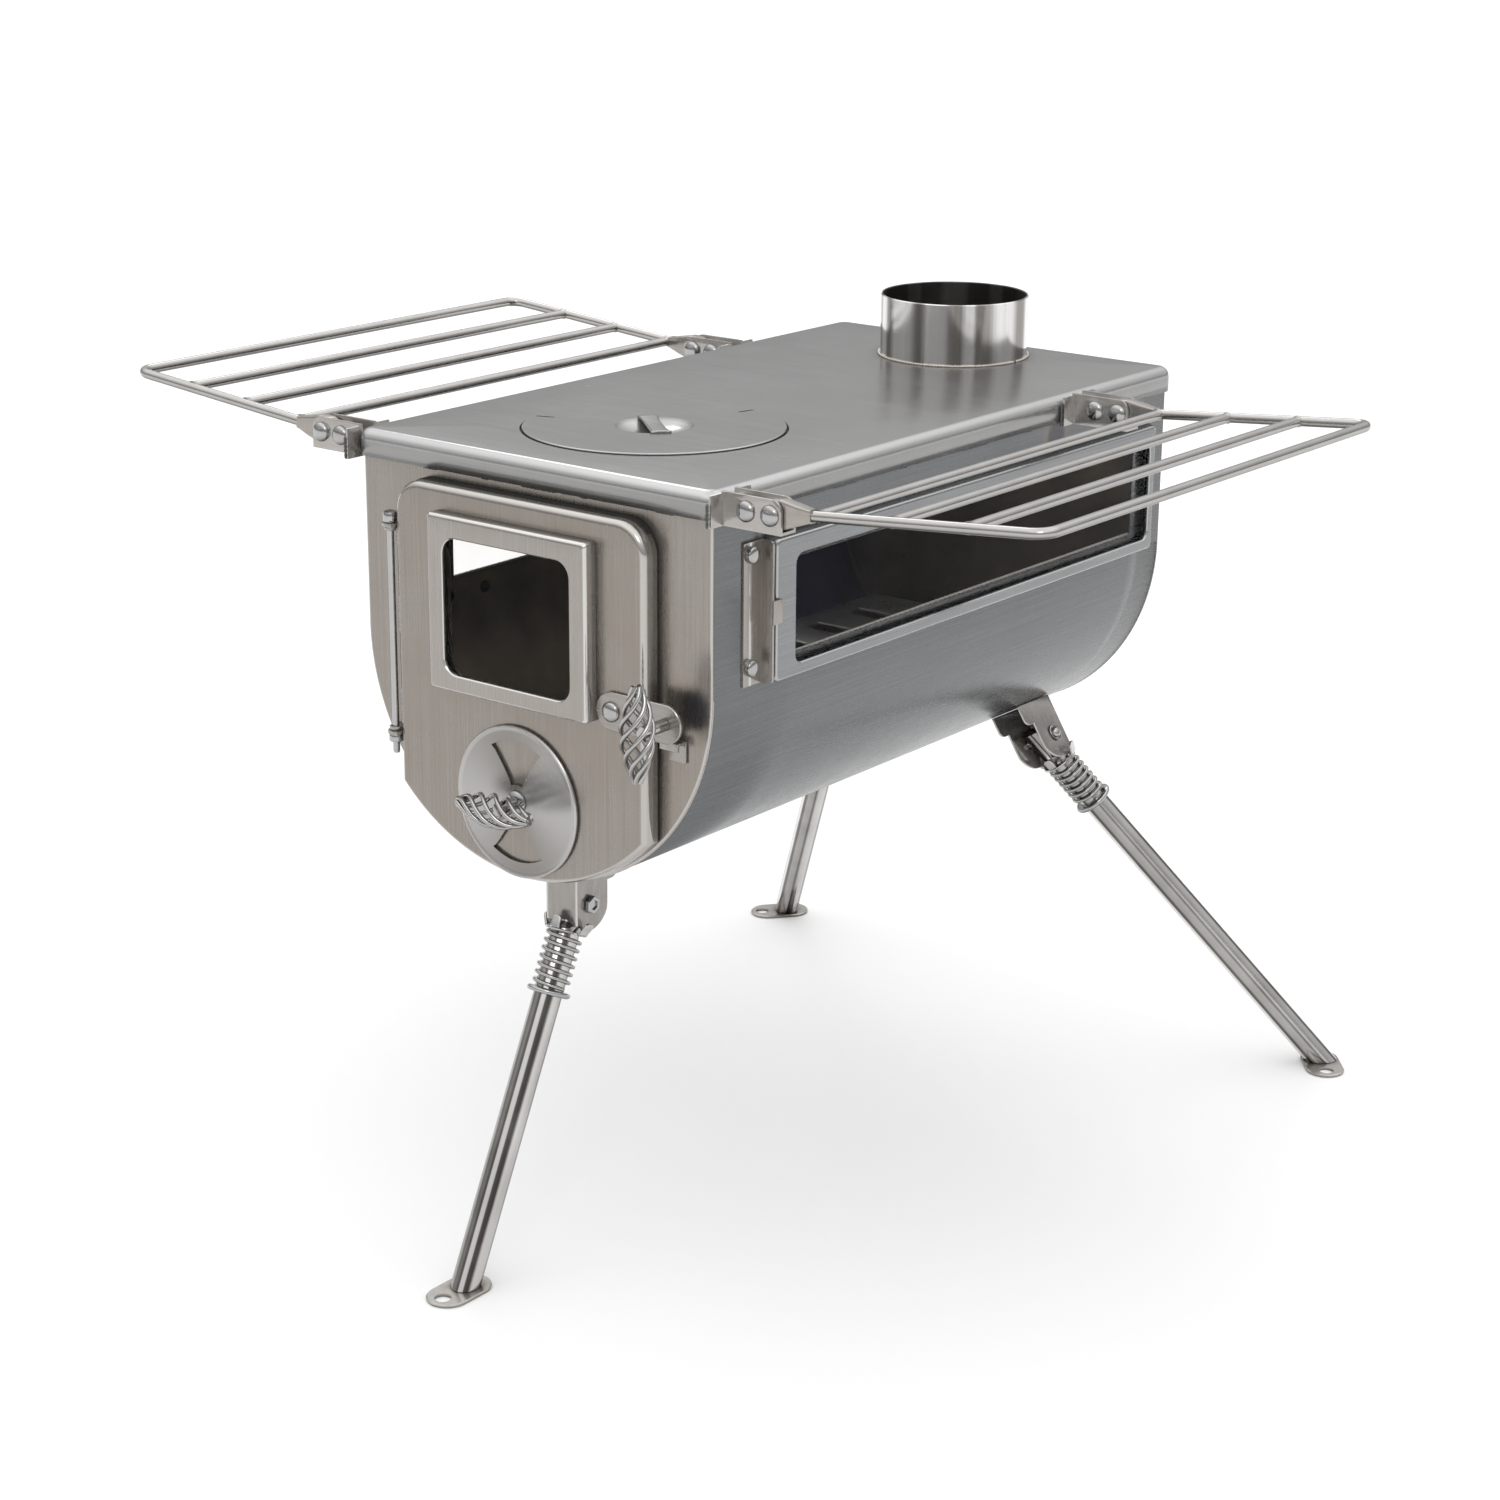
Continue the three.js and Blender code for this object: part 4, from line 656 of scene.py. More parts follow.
sheet("top_tray", [in_xy(skirt), in_xy(seat), in_xy(flue_hole)], plate_gauge, (0, 0, 1), plate_steel,
      "stove", ["top_plate"])

# ---------------------------------------------------------------- flue collar
# A strip rolled into a ring and welded upright on the plate. Tall light and dark stripes are
# painted round it by angle as reflections, and its weld is a fine bead at the foot.

collar_gauge = 1.3


def reflection_striped(name, centre, level, dark, stripes, rough=0.14):
    """Polished steel with painted reflections: its tone follows the angle round an upright line;
    stripes are pairs of an angle in degrees and a half width, painted bright in the middle, on a darker
    ground."""
    paint = Finish(name)
    here = paint.place()
    x = paint.along(here, "X") - centre[0] * mm
    y = paint.along(here, "Y") - centre[1] * mm
    angle = y.math("ARCTAN2", y, x) * (180 / np.pi)
    drawn = paint.noise(here, (260, 260, 5), 3.0)
    light = 0.0
    for middle, half in stripes:
        gap = abs(angle - middle + (drawn - 0.5) * 6.0)
        light = (1 - paint.band(gap, half * 0.35, half)) + light
    tone = light * 0.8 + (drawn - 0.5) * 0.5
    wipe = paint.noise(here, (30, 30, 30), 4.0, 0.6)
    color = paint.mix(grey(dark, 0.06), grey(level, 0.01), tone)
    radius = (x * x + y * y) ** 0.5
    inner = 1 - paint.band(radius, (flue_radius - 0.9) * mm, (flue_radius - 0.5) * mm)
    color = paint.mix(color, (0.03, 0.028, 0.027, 1), inner * 0.9)
    return paint.set(base_color=color, metallic=1.0, roughness=rough + (wipe - 0.5) * 0.12 + inner * 0.3,
                     normal=paint.relief(drawn, 0.08))


collar_steel = reflection_striped("collar_steel", (0, flue_y), 0.86, 0.24, (
    (-101, 17), (-70, 13), (-44, 7), (-13, 17), (22, 9), (52, 16), (88, 9), (124, 15), (160, 9), (-150, 15),
    (-126, 7)))
collar = [(flue_radius - collar_gauge, plate_top - 1.8), (flue_radius, plate_top - 1.8),
          (flue_radius, flue_top - 0.5), (flue_radius - 0.4, flue_top),
          (flue_radius - collar_gauge + 0.4, flue_top), (flue_radius - collar_gauge, flue_top - 0.5)]
turned("collar_ring", collar, (0, flue_y, 0), (0, 0, 1), collar_steel, "stove", ["flue_collar"],
       128, ring=True)
foot_ring = circle(0, flue_y, flue_radius + 0.7, 240)
tubes("collar_weld", [bead(np.column_stack([foot_ring, np.full(240, plate_top + 0.4)]), 1.0, (0, 0, 1), 1.9)],
      straw_weld, "stove")

# ---------------------------------------------------------------- cooking lid
# A loose disc over the hob hole. A round dimple is pressed into its middle with a strap left
# across it to lift the lid by, and two small slits let the steel grow when it is hot.

lid_top = plate_top + 1.1
dimple_radius, dimple_depth, grip_half, grip_angle = 21.0, 6.0, 4.2, -41.0
slit_half, slit_place, slit_turns = (4.6, 0.75), 63.5, (199.0, 77.0)


def slit(turn):
    """A narrow stadium across the lid's edge zone, its long side along the radius."""
    ends = np.concatenate([arc((slit_half[0], 0), slit_half[1], -90, 90, 7),
                           arc((-slit_half[0], 0), slit_half[1], 90, 270, 7)])
    c, s = np.cos(np.radians(turn)), np.sin(np.radians(turn))
    x, y = ends[:, 0] + slit_place, ends[:, 1]
    return np.column_stack([x * c - y * s, lid_y + x * s + y * c])


def dimple_and_rim_highlight(paint, here):
    """The painted highlight, with less roughness: up to 0.6 inside the dimple and on the lid's rim."""
    away = away_from(paint, here, lid_y)
    dimple = 1 - paint.band(away, (dimple_radius - 1.5) * mm, (dimple_radius + 0.5) * mm)
    return (dimple + paint.band(away, (lid_radius - 0.9) * mm, (lid_radius - 0.5) * mm)) * 0.6


def slit_wall_shade(paint, here, smudge):
    """Painted shade on the slits' walls: below the lid's face, outside the dimple, inside the rim."""
    away = away_from(paint, here, lid_y)
    deep = 1 - paint.band(paint.along(here, "Z"), (lid_top - 0.35) * mm, (lid_top - 0.1) * mm)
    inside_rim = 1 - paint.band(away, (lid_radius - 2.4) * mm, (lid_radius - 1.9) * mm)
    return deep * paint.band(away, 45 * mm, 50 * mm) * inside_rim * 0.95


def lid_disc():
    """A rim that turns over, slits, and a dimple whose depth falls as a quarter sine."""
    rim = 0.5
    edge = [(circle(0, lid_y, lid_radius, 128), lid_top - 2.4),
            (circle(0, lid_y, lid_radius, 128), lid_top - rim),
            (circle(0, lid_y, lid_radius - rim, 128), lid_top)]
    bowl = [(circle(0, lid_y, 0.6 + (dimple_radius - 0.6) * np.sin(t), 64),
             lid_top - dimple_depth * np.cos(t) ** 1.3) for t in np.radians(np.linspace(0, 82, 12))]
    bowl.append((circle(0, lid_y, dimple_radius + 0.5, 64), lid_top))
    slits = [in_xy([(slit(turn), lid_top - 1.2), (slit(turn), lid_top)]) for turn in slit_turns]
    return sheet("lid_disc", [in_xy(edge), in_xy(bowl)] + slits, 1.2, (0, 0, 1), lid_steel, "lid",
                 ["cook_lid"], capped=(1,))


def lid_strap():
    """A strip over the dimple: its width grows with the fourth power of the distance out, and its
    height dips by a parabola in the middle."""
    u = np.linspace(-1, 1, 25)[:, None]
    v = np.linspace(-1, 1, 9)[None, :]
    along = u * (dimple_radius + 0.6) + 0 * v
    across = v * grip_half * (1 + 0.35 * u ** 4)
    height = lid_top + 0.1 - 0.4 * v ** 2 - 0.5 * (1 - u ** 2) + 0 * u
    turn = np.radians(grip_angle)
    points = np.stack([along * np.cos(turn) - across * np.sin(turn),
                       lid_y + along * np.sin(turn) + across * np.cos(turn), height], -1)
    made = piece("lid_strap", points, grid_faces(25, 9).tolist(), strap_steel, "lid", ())
    return gauge(made, 1.3, -1)


lid_steel = steel("lid_steel", 0.28, 0.012, 0.23, (9, 700, 700), 0.06, clouds=0.5, painted_highlight=dimple_and_rim_highlight,
                  painted_shade=slit_wall_shade)
strap_steel = steel("strap_steel", 0.32, 0.01, 0.28, (9, 700, 700))
lid_disc()
lid_strap()

# ---------------------------------------------------------------- door
# A pan pressed from one sheet, deep enough to hold a rope seal against the front panel. Its edge
# is rolled over, and a painted highlight runs along it all the way round.

door_half, door_radius, door_top, door_corner = 86.5, 119.0, 429.8, 18.0
door_back, door_face, door_edge, door_gauge = -219.2, -229.8, 4.0, 1.5
pane_outer = (-55.0, 321.8, 55.0, 417.2)
pane_sight = (-44.0, 331.0, 44.0, 405.5)
pane_face, pane_gap = -238.8, 2.0
damper_z, damper_radius, hub, port_radius = 266.8, 42.0, 8.5, 34.5


def door_loop(inset):
    """The door's outline pulled in from its edge."""
    return barrel(door_half - inset, door_radius - inset, door_top - inset, max(door_corner - inset, 1))


def door_ridge(paint, here):
    """The painted highlight: 1 on the ridge where the flat face turns into the rolled edge, and 0.65 on the
    wall behind.
    """
    face = paint.along(here, "Y")
    return paint.band(face, (door_face + 0.05) * mm, (door_face + 0.5) * mm) * (
        1 - paint.band(face, (door_face + 1.6) * mm, (door_face + 3.2) * mm) * 0.35)


def port(turn, half_angle=38, outer_radius=port_radius, inner_radius=hub):
    """A ring sector of the air ports: round the rim, then back along the hub."""
    outer = arc((0, damper_z), outer_radius, turn - half_angle, turn + half_angle, 17)
    inner = arc((0, damper_z), inner_radius, turn + half_angle, turn - half_angle, 5)
    return np.concatenate([outer, inner])


door_steel = steel("door_steel", 0.25, 0.11, 0.26, (900, 900, 9), clouds=0.8, painted_highlight=door_ridge)
door_wall = [(door_loop(0), door_back), (door_loop(0), door_face + door_edge)] + [
    (door_loop(door_edge * (1 - np.cos(t))), door_face + door_edge * (1 - np.sin(t)))
    for t in np.radians([15, 30, 45, 60, 75, 90])]
sight_edge = round_rect(pane_sight[0] - pane_gap, pane_sight[1] - pane_gap,
                        pane_sight[2] + pane_gap, pane_sight[3] + pane_gap, 8)
sight_hole = [(sight_edge, door_face + 0.8), (sight_edge, door_face)]
ports = [in_xz([(port(turn), door_face + 0.8), (port(turn), door_face)]) for turn in (0, 180)]
sheet("door_pan", [in_xz(door_wall), in_xz(sight_hole)] + ports, door_gauge, (0, -1, 0), door_steel,
      "door", ["door_shell"])


def rope_seal():
    """A woven rope: dark, matt and ribbed across its length."""
    paint = Finish("rope_seal")
    here = paint.place()
    weave = paint.noise(here, (900, 900, 900), 3.0)
    return paint.set(base_color=paint.mix((0.006, 0.006, 0.006, 1), (0.03, 0.028, 0.026, 1), weave),
                     roughness=0.95, normal=paint.relief(weave, 0.6, 0.001))


frame["nodes"]["door_seal"].data.materials[0] = rope_seal()

# ---------------------------------------------------------------- door window
# A raised frame pressed from sheet, welded to the door over the opening, with a pane of heat
# resistant glass behind it.


def raised_frame(name, outer, sight, face, foot, corner, sight_corner, layout, facing, material, body,
                 node, slope=0.0, edge=1.6):
    """Side walls that lean in, a rolled edge, a flat face and a small return round the opening."""
    def ring(rect, inset, radius):
        return round_rect(rect[0] + inset, rect[1] + inset, rect[2] - inset, rect[3] - inset,
                          max(radius, 0.6), 9)
    out = np.sign(face - foot)
    wall = [(ring(outer, 0, corner), foot), (ring(outer, slope * 0.8, corner), face - out * edge)] + [
        (ring(outer, slope * 0.8 + (edge + slope * 0.2) * (1 - np.cos(t)), corner),
         face - out * edge * (1 - np.sin(t))) for t in np.radians([22, 45, 68, 90])]
    sill = [(ring(sight, 0.2, sight_corner), face - out * 2.4),
            (ring(sight, 0.1, sight_corner), face - out * 0.8),
            (ring(sight, -0.6, sight_corner + 0.6), face)]
    return sheet(name, [layout(wall), layout(sill)], 1.1, facing, material, body, [node])


def pane_edge(paint, here):
    """The painted highlight: 1 on the window frame's rolled edge, and 0.7 on the walls behind it."""
    face = paint.along(here, "Y")
    return paint.band(face, (pane_face + 0.1) * mm, (pane_face + 0.5) * mm) * (
        1 - paint.band(face, (pane_face + 1.6) * mm, (pane_face + 2.6) * mm) * 0.3)


pane_steel = steel("pane_steel", 0.315, 0.08, 0.26, (900, 900, 9), clouds=0.7, painted_highlight=pane_edge)
raised_frame("pane_frame", pane_outer, pane_sight, pane_face, -230.1, 2.2, 9.0, in_xz, (0, -1, 0),
             pane_steel, "door", "door_window_frame", edge=2.4)


def stove_glass():
    """Clear heat resistant glass with a trace of smoke in it, almost free of reflections."""
    paint = Finish("stove_glass")
    haze = paint.noise(paint.place(), (30, 30, 30), 4.0, 0.6)
    return paint.set(base_color=paint.mix((0.86, 0.85, 0.84, 1), (0.96, 0.96, 0.96, 1), haze),
                     roughness=haze * 0.02, transmission_weight=1.0, ior=1.07)


clear_glass = stove_glass()
for node in ("door_glass", "side_glass_left", "side_glass_right"):
    frame["nodes"][node].data.materials[0] = clear_glass

# ---------------------------------------------------------------- hinge
# A long bolt runs down through four ears: two on the leaf that is stitched to the door, two on the
# front panel. The leaf is held by short welds; the open gaps between them are painted dark as shade.

hinge_x, hinge_y = -91.8, -227.3
stitches = ((392, 402), (344, 364), (292, 312))


def bright(name, level=0.62, warm=0.0, rough=0.12, marks=60, painted_underside_shade=0.0):
    """Polished stainless with faint wipe marks; the last argument gives painted shade that darkens what faces
    the ground.
    """
    paint = Finish(name)
    here = paint.place()
    wipe = paint.noise(here, (marks, marks, marks), 4.0, 0.6)
    skin = paint.noise(here, (700, 700, 700), 2.0)
    color = paint.mix(grey(level * 0.86, warm), grey(level * 1.1, warm), wipe)
    # painted shade on the underside: the colour turns dark where the normal faces the ground
    if painted_underside_shade:
        normal = paint.node("ShaderNodeTexCoord", output="Normal")
        under = 1 - paint.band(paint.along(normal, "Z"), -0.75, -0.15)
        color = paint.mix(color, grey(level * 0.16, 0.12), under * painted_underside_shade)
    return paint.set(base_color=color, metallic=1.0, roughness=rough + (wipe - 0.5) * 0.14,
                     normal=paint.relief(skin + wipe * 2, 0.10))


def leaf_gap_shade(paint, here, smudge):
    """Painted shade in the open gaps between the stitches that hold the leaf to the door."""
    height = paint.along(here, "Z")
    gap = 0.0
    for (low, _), (_, high) in zip(stitches, stitches[1:]):
        gap = paint.band(height, (high + 1) * mm, (high + 2) * mm) * (
            1 - paint.band(height, (low - 2) * mm, (low - 1) * mm)) + gap
    inner = paint.band(paint.along(here, "X"), (hinge_x + 3.8) * mm, (hinge_x + 4.4) * mm)
    return gap * inner * 0.92


polished_steel = bright("polished_steel", 0.42, painted_underside_shade=0.7)
bracket_steel = steel("bracket_steel", 0.33, 0.05, 0.23, (500, 500, 60))
leaf_steel = steel("leaf_steel", 0.33, 0.06, 0.25, (500, 500, 60), painted_shade=leaf_gap_shade)
bolt = [(0.3, 275), (1.6, 275), (1.9, 276), (1.9, 281.6), (3.6, 281.7), (3.9, 282.2), (3.9, 285.2),
        (3.6, 285.7), (1.9, 285.8), (1.9, 404.2), (3.7, 404.3), (3.9, 404.7), (3.9, 408.6), (3.4, 409.8),
        (2.2, 410.3), (0.3, 410.3)]
turned("hinge_bolt", bolt, (hinge_x, hinge_y, 0), (0, 0, 1), polished_steel, "stove", ["hinge_rod"],
       24)
dressed("door_hinge_leaf", leaf_steel, "door", 0.25)
dressed("hinge_ear_upper", bracket_steel, "stove", 0.3)
dressed("hinge_ear_lower", bracket_steel, "stove", 0.3)
tubes("leaf_stitches", [bead(np.linspace((-87.0, -226.6, low), (-87.0, -226.6, high), 8), 1.0, (0, 1, 0), 2.2)
                        for low, high in stitches], weld_steel, "door")

# ---------------------------------------------------------------- cage handles
# Round wires welded together at both ends and twisted open into a basket, which stays cool enough
# to hold. Each sits on a short stud.

cage_length, cage_radius, cage_neck, cage_wire, cage_wires, cage_twist = 50.0, 8.2, 1.9, 1.25, 6, 300.0
stud_radius = 3.3


def cage(centre, along, stud_from, stud_to):
    """Wires on a helix whose radius follows a half sine, bundled at both ends."""
    along = np.asarray(along, float)
    side = np.cross(along, (0.2, 0.9, 0.35))
    side /= np.linalg.norm(side)
    other = np.cross(along, side)
    t = np.linspace(0, 1, 49)[:, None]
    made = []
    for wire in range(cage_wires):
        turn = np.radians(cage_twist) * t + 2 * np.pi * wire / cage_wires
        away = np.cos(turn) * side + np.sin(turn) * other
        bulge = cage_neck + (cage_radius - cage_neck) * np.sin(np.pi * t)
        path = np.asarray(centre, float) + (t - 0.5) * cage_length * along + bulge * away
        made.append(sweep(path, cage_wire, along, 10))
    stud = np.linspace(stud_from, stud_to, 4)
    made.append(sweep(stud, stud_radius, along, 24))
    for end in (-1, 1):
        run = end * (cage_length / 2 - np.array([[3.6], [2.9], [0.9], [0.2]]))
        made.append(sweep(np.asarray(centre, float) + run * along, [1.4, 2.3, 2.3, 1.6], side, 16))
    return made


cage_steel = bright("cage_steel", 0.42, 0.02, 0.14, 200, painted_underside_shade=0.95)
latch_x, latch_z, latch_reach = 66.5, 329.8, 35.2
strap_back = door_face - 0.3
latch_cage_y, damper_cage_y = -253.4, -249.6
stud_end = latch_x + latch_reach
tubes("latch_cage", cage((stud_end, latch_cage_y, latch_z), (0, 0, 1),
                         (stud_end, latch_cage_y + 3, latch_z), (stud_end, -232.4, latch_z)),
      cage_steel, "latch", ["latch_handle"])

# ---------------------------------------------------------------- latch
# A flat strap with round ends turns on a rivet in the door. Behind its outer end a finger drops
# onto a keeper that is welded to the front panel.


def stadium(x0, x1, z, radius, steps=17):
    """Two half circles joined by straight sides."""
    return np.concatenate([arc((x1, z), radius, -90, 90, steps), arc((x0, z), radius, 90, 270, steps)])


def strap_rim(paint, here):
    """The painted highlight: 1 on the strap's ground edge."""
    return paint.band(paint.along(here, "Y"), (strap_back - 1.85) * mm, (strap_back - 1.5) * mm) * 0.9


strap = [(stadium(latch_x, stud_end, latch_z, 10.3), strap_back - 0.2),
         (stadium(latch_x, stud_end, latch_z, 10.3), strap_back - 1.6),
         (stadium(latch_x, stud_end, latch_z, 9.9), strap_back - 2.0)]
latch_steel = steel("latch_steel", 0.30, 0.07, 0.26, (9, 900, 900), painted_highlight=strap_rim)
sheet("latch_strap", [in_xz(strap)], 1.7, (0, -1, 0), latch_steel, "latch", ["latch_plate"])
finger_line, finger_radius = np.linspace((98.5, -231, 321.0), (98.5, -219.6, 320.6), 12), 2.2
tubes("latch_finger", [sweep(finger_line, finger_radius, (0, 0, 1), 16)], bracket_steel, "latch")
dressed("latch_keeper", bracket_steel, "stove", 0.3)


rivet_steel = bright("rivet_steel", 0.40, 0.01, 0.14, 160, painted_underside_shade=0.95)


def rivet(name, centre, axis, body, radius=5.4, height=2.6, nodes=()):
    """A domed polished head."""
    return turned(name, domed(radius, height), centre, axis, rivet_steel, body, nodes,
                  40)


rivet("latch_rivet_head", (latch_x, strap_back - 2.3, latch_z), (0, -1, 0), "door", nodes=["latch_rivet"])

# ---------------------------------------------------------------- damper
# A spun disc over the two air ports in the door. It has two matching ports of its own and a rolled
# rim, and turns on the stud that carries its handle. It is brushed round its centre.


def damper_steel():
    """Fine rings, with painted highlights over them: light and dark cones that follow the cosine of twice the
    angle, and a lighter rolled rim.
    """
    paint = Finish("damper_steel")
    here = paint.place()
    x = paint.along(here, "X")
    z = paint.along(here, "Z") - damper_z * mm
    away = (x * x + z * z) ** 0.5
    rings = paint.node("ShaderNodeTexNoise", {"noise_dimensions": "1D"},
                       {"W": away * 2600, "Scale": 1.0, "Detail": 2.0})
    # painted highlights: light and dark cones that follow twice the angle round the hub
    twice = z.math("ARCTAN2", z, x) * 2.0 - 0.35
    highlight_cone = twice.math("COSINE", twice)
    cloud = paint.noise(here, (22, 22, 22), 3.0)
    rim = paint.band(away, (damper_radius - 3.4) * mm, (damper_radius - 2.2) * mm)
    tone = 0.45 + highlight_cone * 0.42 + (rings - 0.5) * 0.35 + (cloud - 0.5) * 0.3
    color = paint.mix(grey(0.23, 0.06), grey(0.42, 0.02), tone)
    # painted highlight on the rolled rim
    color = paint.mix(color, grey(0.50, 0.02), rim * 0.5)
    return paint.set(base_color=color, metallic=brushed_metal, roughness=0.25 + (cloud - 0.5) * 0.1,
                     normal=paint.relief(rings, 0.35))


def shoulder(start, end, steps=7):
    """A side of a port: a straight line whose ends are eased outwards by a root of a sine."""
    t = np.linspace(0, 1, steps + 2)[1:-1, None]
    normal = np.array([(end - start)[1], -(end - start)[0]])
    normal /= np.linalg.norm(normal)
    return start + (end - start) * t - normal * 1.1 * np.sin(np.pi * t) ** 0.35


def disc_port(turn, half_angle=35.0):
    """A sector with round corners: an arc at the rim and one at the hub, joined by shoulders."""
    outer = arc((0, damper_z), port_radius - 1, turn - half_angle + 3.5, turn + half_angle - 3.5, 25)
    inner = arc((0, damper_z), hub + 1, turn + half_angle - 10, turn - half_angle + 10, 7)
    return np.concatenate([outer, shoulder(outer[-1], inner[0]), inner, shoulder(inner[-1], outer[0])])


disc_face = door_face - 0.3 - 1.5
rim_roll = [(circle(0, damper_z, damper_radius), door_face - 0.6),
            (circle(0, damper_z, damper_radius), disc_face - 0.1),
            (circle(0, damper_z, damper_radius - 0.5), disc_face - 0.7),
            (circle(0, damper_z, damper_radius - 1.3), disc_face - 0.8),
            (circle(0, damper_z, damper_radius - 2.4), disc_face - 0.2),
            (circle(0, damper_z, damper_radius - 3.4), disc_face)]
disc_ports = [in_xz([(disc_port(turn), disc_face + 1.1), (disc_port(turn), disc_face)]) for turn in (90, 270)]
sheet("damper_plate", [in_xz(rim_roll)] + disc_ports, 1.2, (0, -1, 0), damper_steel(), "damper",
      ["damper_disc"])
tubes("damper_cage", cage((0, damper_cage_y, damper_z), (1, 0, 0), (0, damper_cage_y + 3, damper_z),
                          (0, door_face, damper_z)),
      cage_steel, "damper", ["damper_handle"])
turned("damper_washer", [(3.3, 0), (6.4, 0), (6.2, 0.8), (5.2, 1.6), (3.6, 2.2), (3.3, 2.3)],
       (0, disc_face - 0.3, damper_z), (0, -1, 0), polished_steel, "damper", (), 40)

# ---------------------------------------------------------------- side windows
# A long raised frame on each side with a pane behind it. Its front end is open for the glass to
# slide in, and an angle screwed to the wrap closes it and hooks a tab over it.

side_outer, side_sight = (-176.0, 342.0, 197.0, 420.0), (-158.0, 350.0, 190.0, 408.0)
side_face, side_foot = 128.2, 120.5
clip_screws = (354.0, 413.0)


def in_yz(loops):
    """Pairs of an outline in Y and Z and an X, as one stack of loops."""
    return np.stack([np.column_stack([np.full(len(o), x), o]) for o, x in loops])


def frame_edge(paint, here):
    """The painted highlight: 0.8 on the long frame's rolled edges."""
    out = abs(paint.along(here, "X"))
    edge = paint.band(out, (side_face - 2.0) * mm, (side_face - 1.2) * mm)
    return edge * (1 - paint.band(out, (side_face - 0.25) * mm, (side_face - 0.05) * mm)) * 0.8


window_steel = steel("window_steel", 0.255, -0.018, 0.26, (900, 9, 900), painted_highlight=frame_edge)
clip_fold = -188.5


def clip_ridge(paint, here):
    """The painted highlight: 1 along the upright fold in the angle."""
    return 1 - paint.band(abs(paint.along(here, "Y") - clip_fold * mm), 0.5 * mm, 1.3 * mm)


clip_steel = steel("clip_steel", 0.30, 0.09, 0.24, (500, 500, 40), painted_highlight=clip_ridge)
for side, hand in (("right", 1), ("left", -1)):
    raised_frame(f"long_frame_{side}", side_outer, side_sight, hand * side_face, hand * side_foot, 3.0, 5.5,
                 in_yz, (hand, 0, 0), window_steel, "stove", f"side_window_frame_{side}",
                 slope=2.0, edge=1.4)
    dressed(f"window_clip_{side}", clip_steel, "stove", 0.45)
    for label, z in zip("ab", clip_screws):
        rivet(f"clip_screw_{side}_{label}", (hand * 124.6, -189.6, z), (hand, 0, 0), "stove", 4.4, 1.8)

# ---------------------------------------------------------------- racks
# Each rack is one rod bent round three sides with straight rods welded between its cross runs. Its
# ends sit in folded arms, which turn on rivets in brackets on the plate's edge.

rack_front, rack_back, rack_pivot, rack_reach = -209.0, 112.0, (154.3, 442.5), 154.9
rod_radius, rack_pitch, rack_bend, rack_tilt = 2.85, 43.6, 9.0, 5.0
rivet_spacing, rivet_out = 14.8, 6.2
flange_x, flange_half, flange_low, flange_high = 124.4, 17.6, 433.5, 446.0


def rack_place(points, hand):
    """Turns a rack that was drawn level round its pivot line and puts it on its side."""
    points = np.asarray(points, float)
    c, s = np.cos(np.radians(rack_tilt)), np.sin(np.radians(rack_tilt))
    x = points[..., 0] * c - points[..., 2] * s + rack_pivot[0]
    z = points[..., 0] * s + points[..., 2] * c + rack_pivot[1]
    return np.stack([hand * x, points[..., 1], z], -1)


def rack_rods(hand):
    """The outline with two quarter-circle bends, and straight rods that flare at their welds."""
    near, far = rack_front, rack_back
    first = arc((rack_reach - rack_bend, near + rack_bend), rack_bend, -90, 0, 13)
    second = arc((rack_reach - rack_bend, far - rack_bend), rack_bend, 0, 90, 13)
    outline = np.concatenate([[[16.0, near], [60.0, near]], first, second, [[60.0, far], [16.0, far]]])
    loop = np.column_stack([outline, np.zeros(len(outline))])
    upright = rack_place((0, 0, 1), hand) - rack_place((0, 0, 0), hand)
    rods = [sweep(rack_place(loop, hand), rod_radius, upright, 16)]
    swell = rod_radius * np.array([1.18, 1.0, 1.0, 1.0, 1.0, 1.18])
    for k in (1, 2, 3):
        x = rack_reach - k * rack_pitch
        run = np.array([near + 1.2, near + 4.2, near + 5, far - 5, far - 4.2, far - 1.2])
        straight = np.column_stack([np.full(6, x), run, np.zeros(6)])
        rods.append(sweep(rack_place(straight, hand), swell, (0, 0, 1), 16))
    return rods


def arm(y):
    """A folded arm: a squared oval section that shrinks from the pivot's round to the rod's nose."""
    t = np.linspace(0, 1, 40)[:, None]
    x = -7.6 + t * 29.8
    half_high = np.where(x < 0, np.sqrt(np.clip(7.6 ** 2 - x ** 2, 0.3, None)),
                         7.6 - 4.2 * np.clip((x - 5) / 16, 0, 1))
    half_wide = 4.0 - 0.8 * np.clip((x - 14) / 8, 0, 1)
    turn = np.linspace(0, 2 * np.pi, 32, endpoint=False)[None, :]
    square = 0.22
    across = half_wide * np.sign(np.cos(turn)) * np.abs(np.cos(turn)) ** square
    high = half_high * np.sign(np.sin(turn)) * np.abs(np.sin(turn)) ** square
    return np.stack([x + 0 * turn, y + across, high], -1)


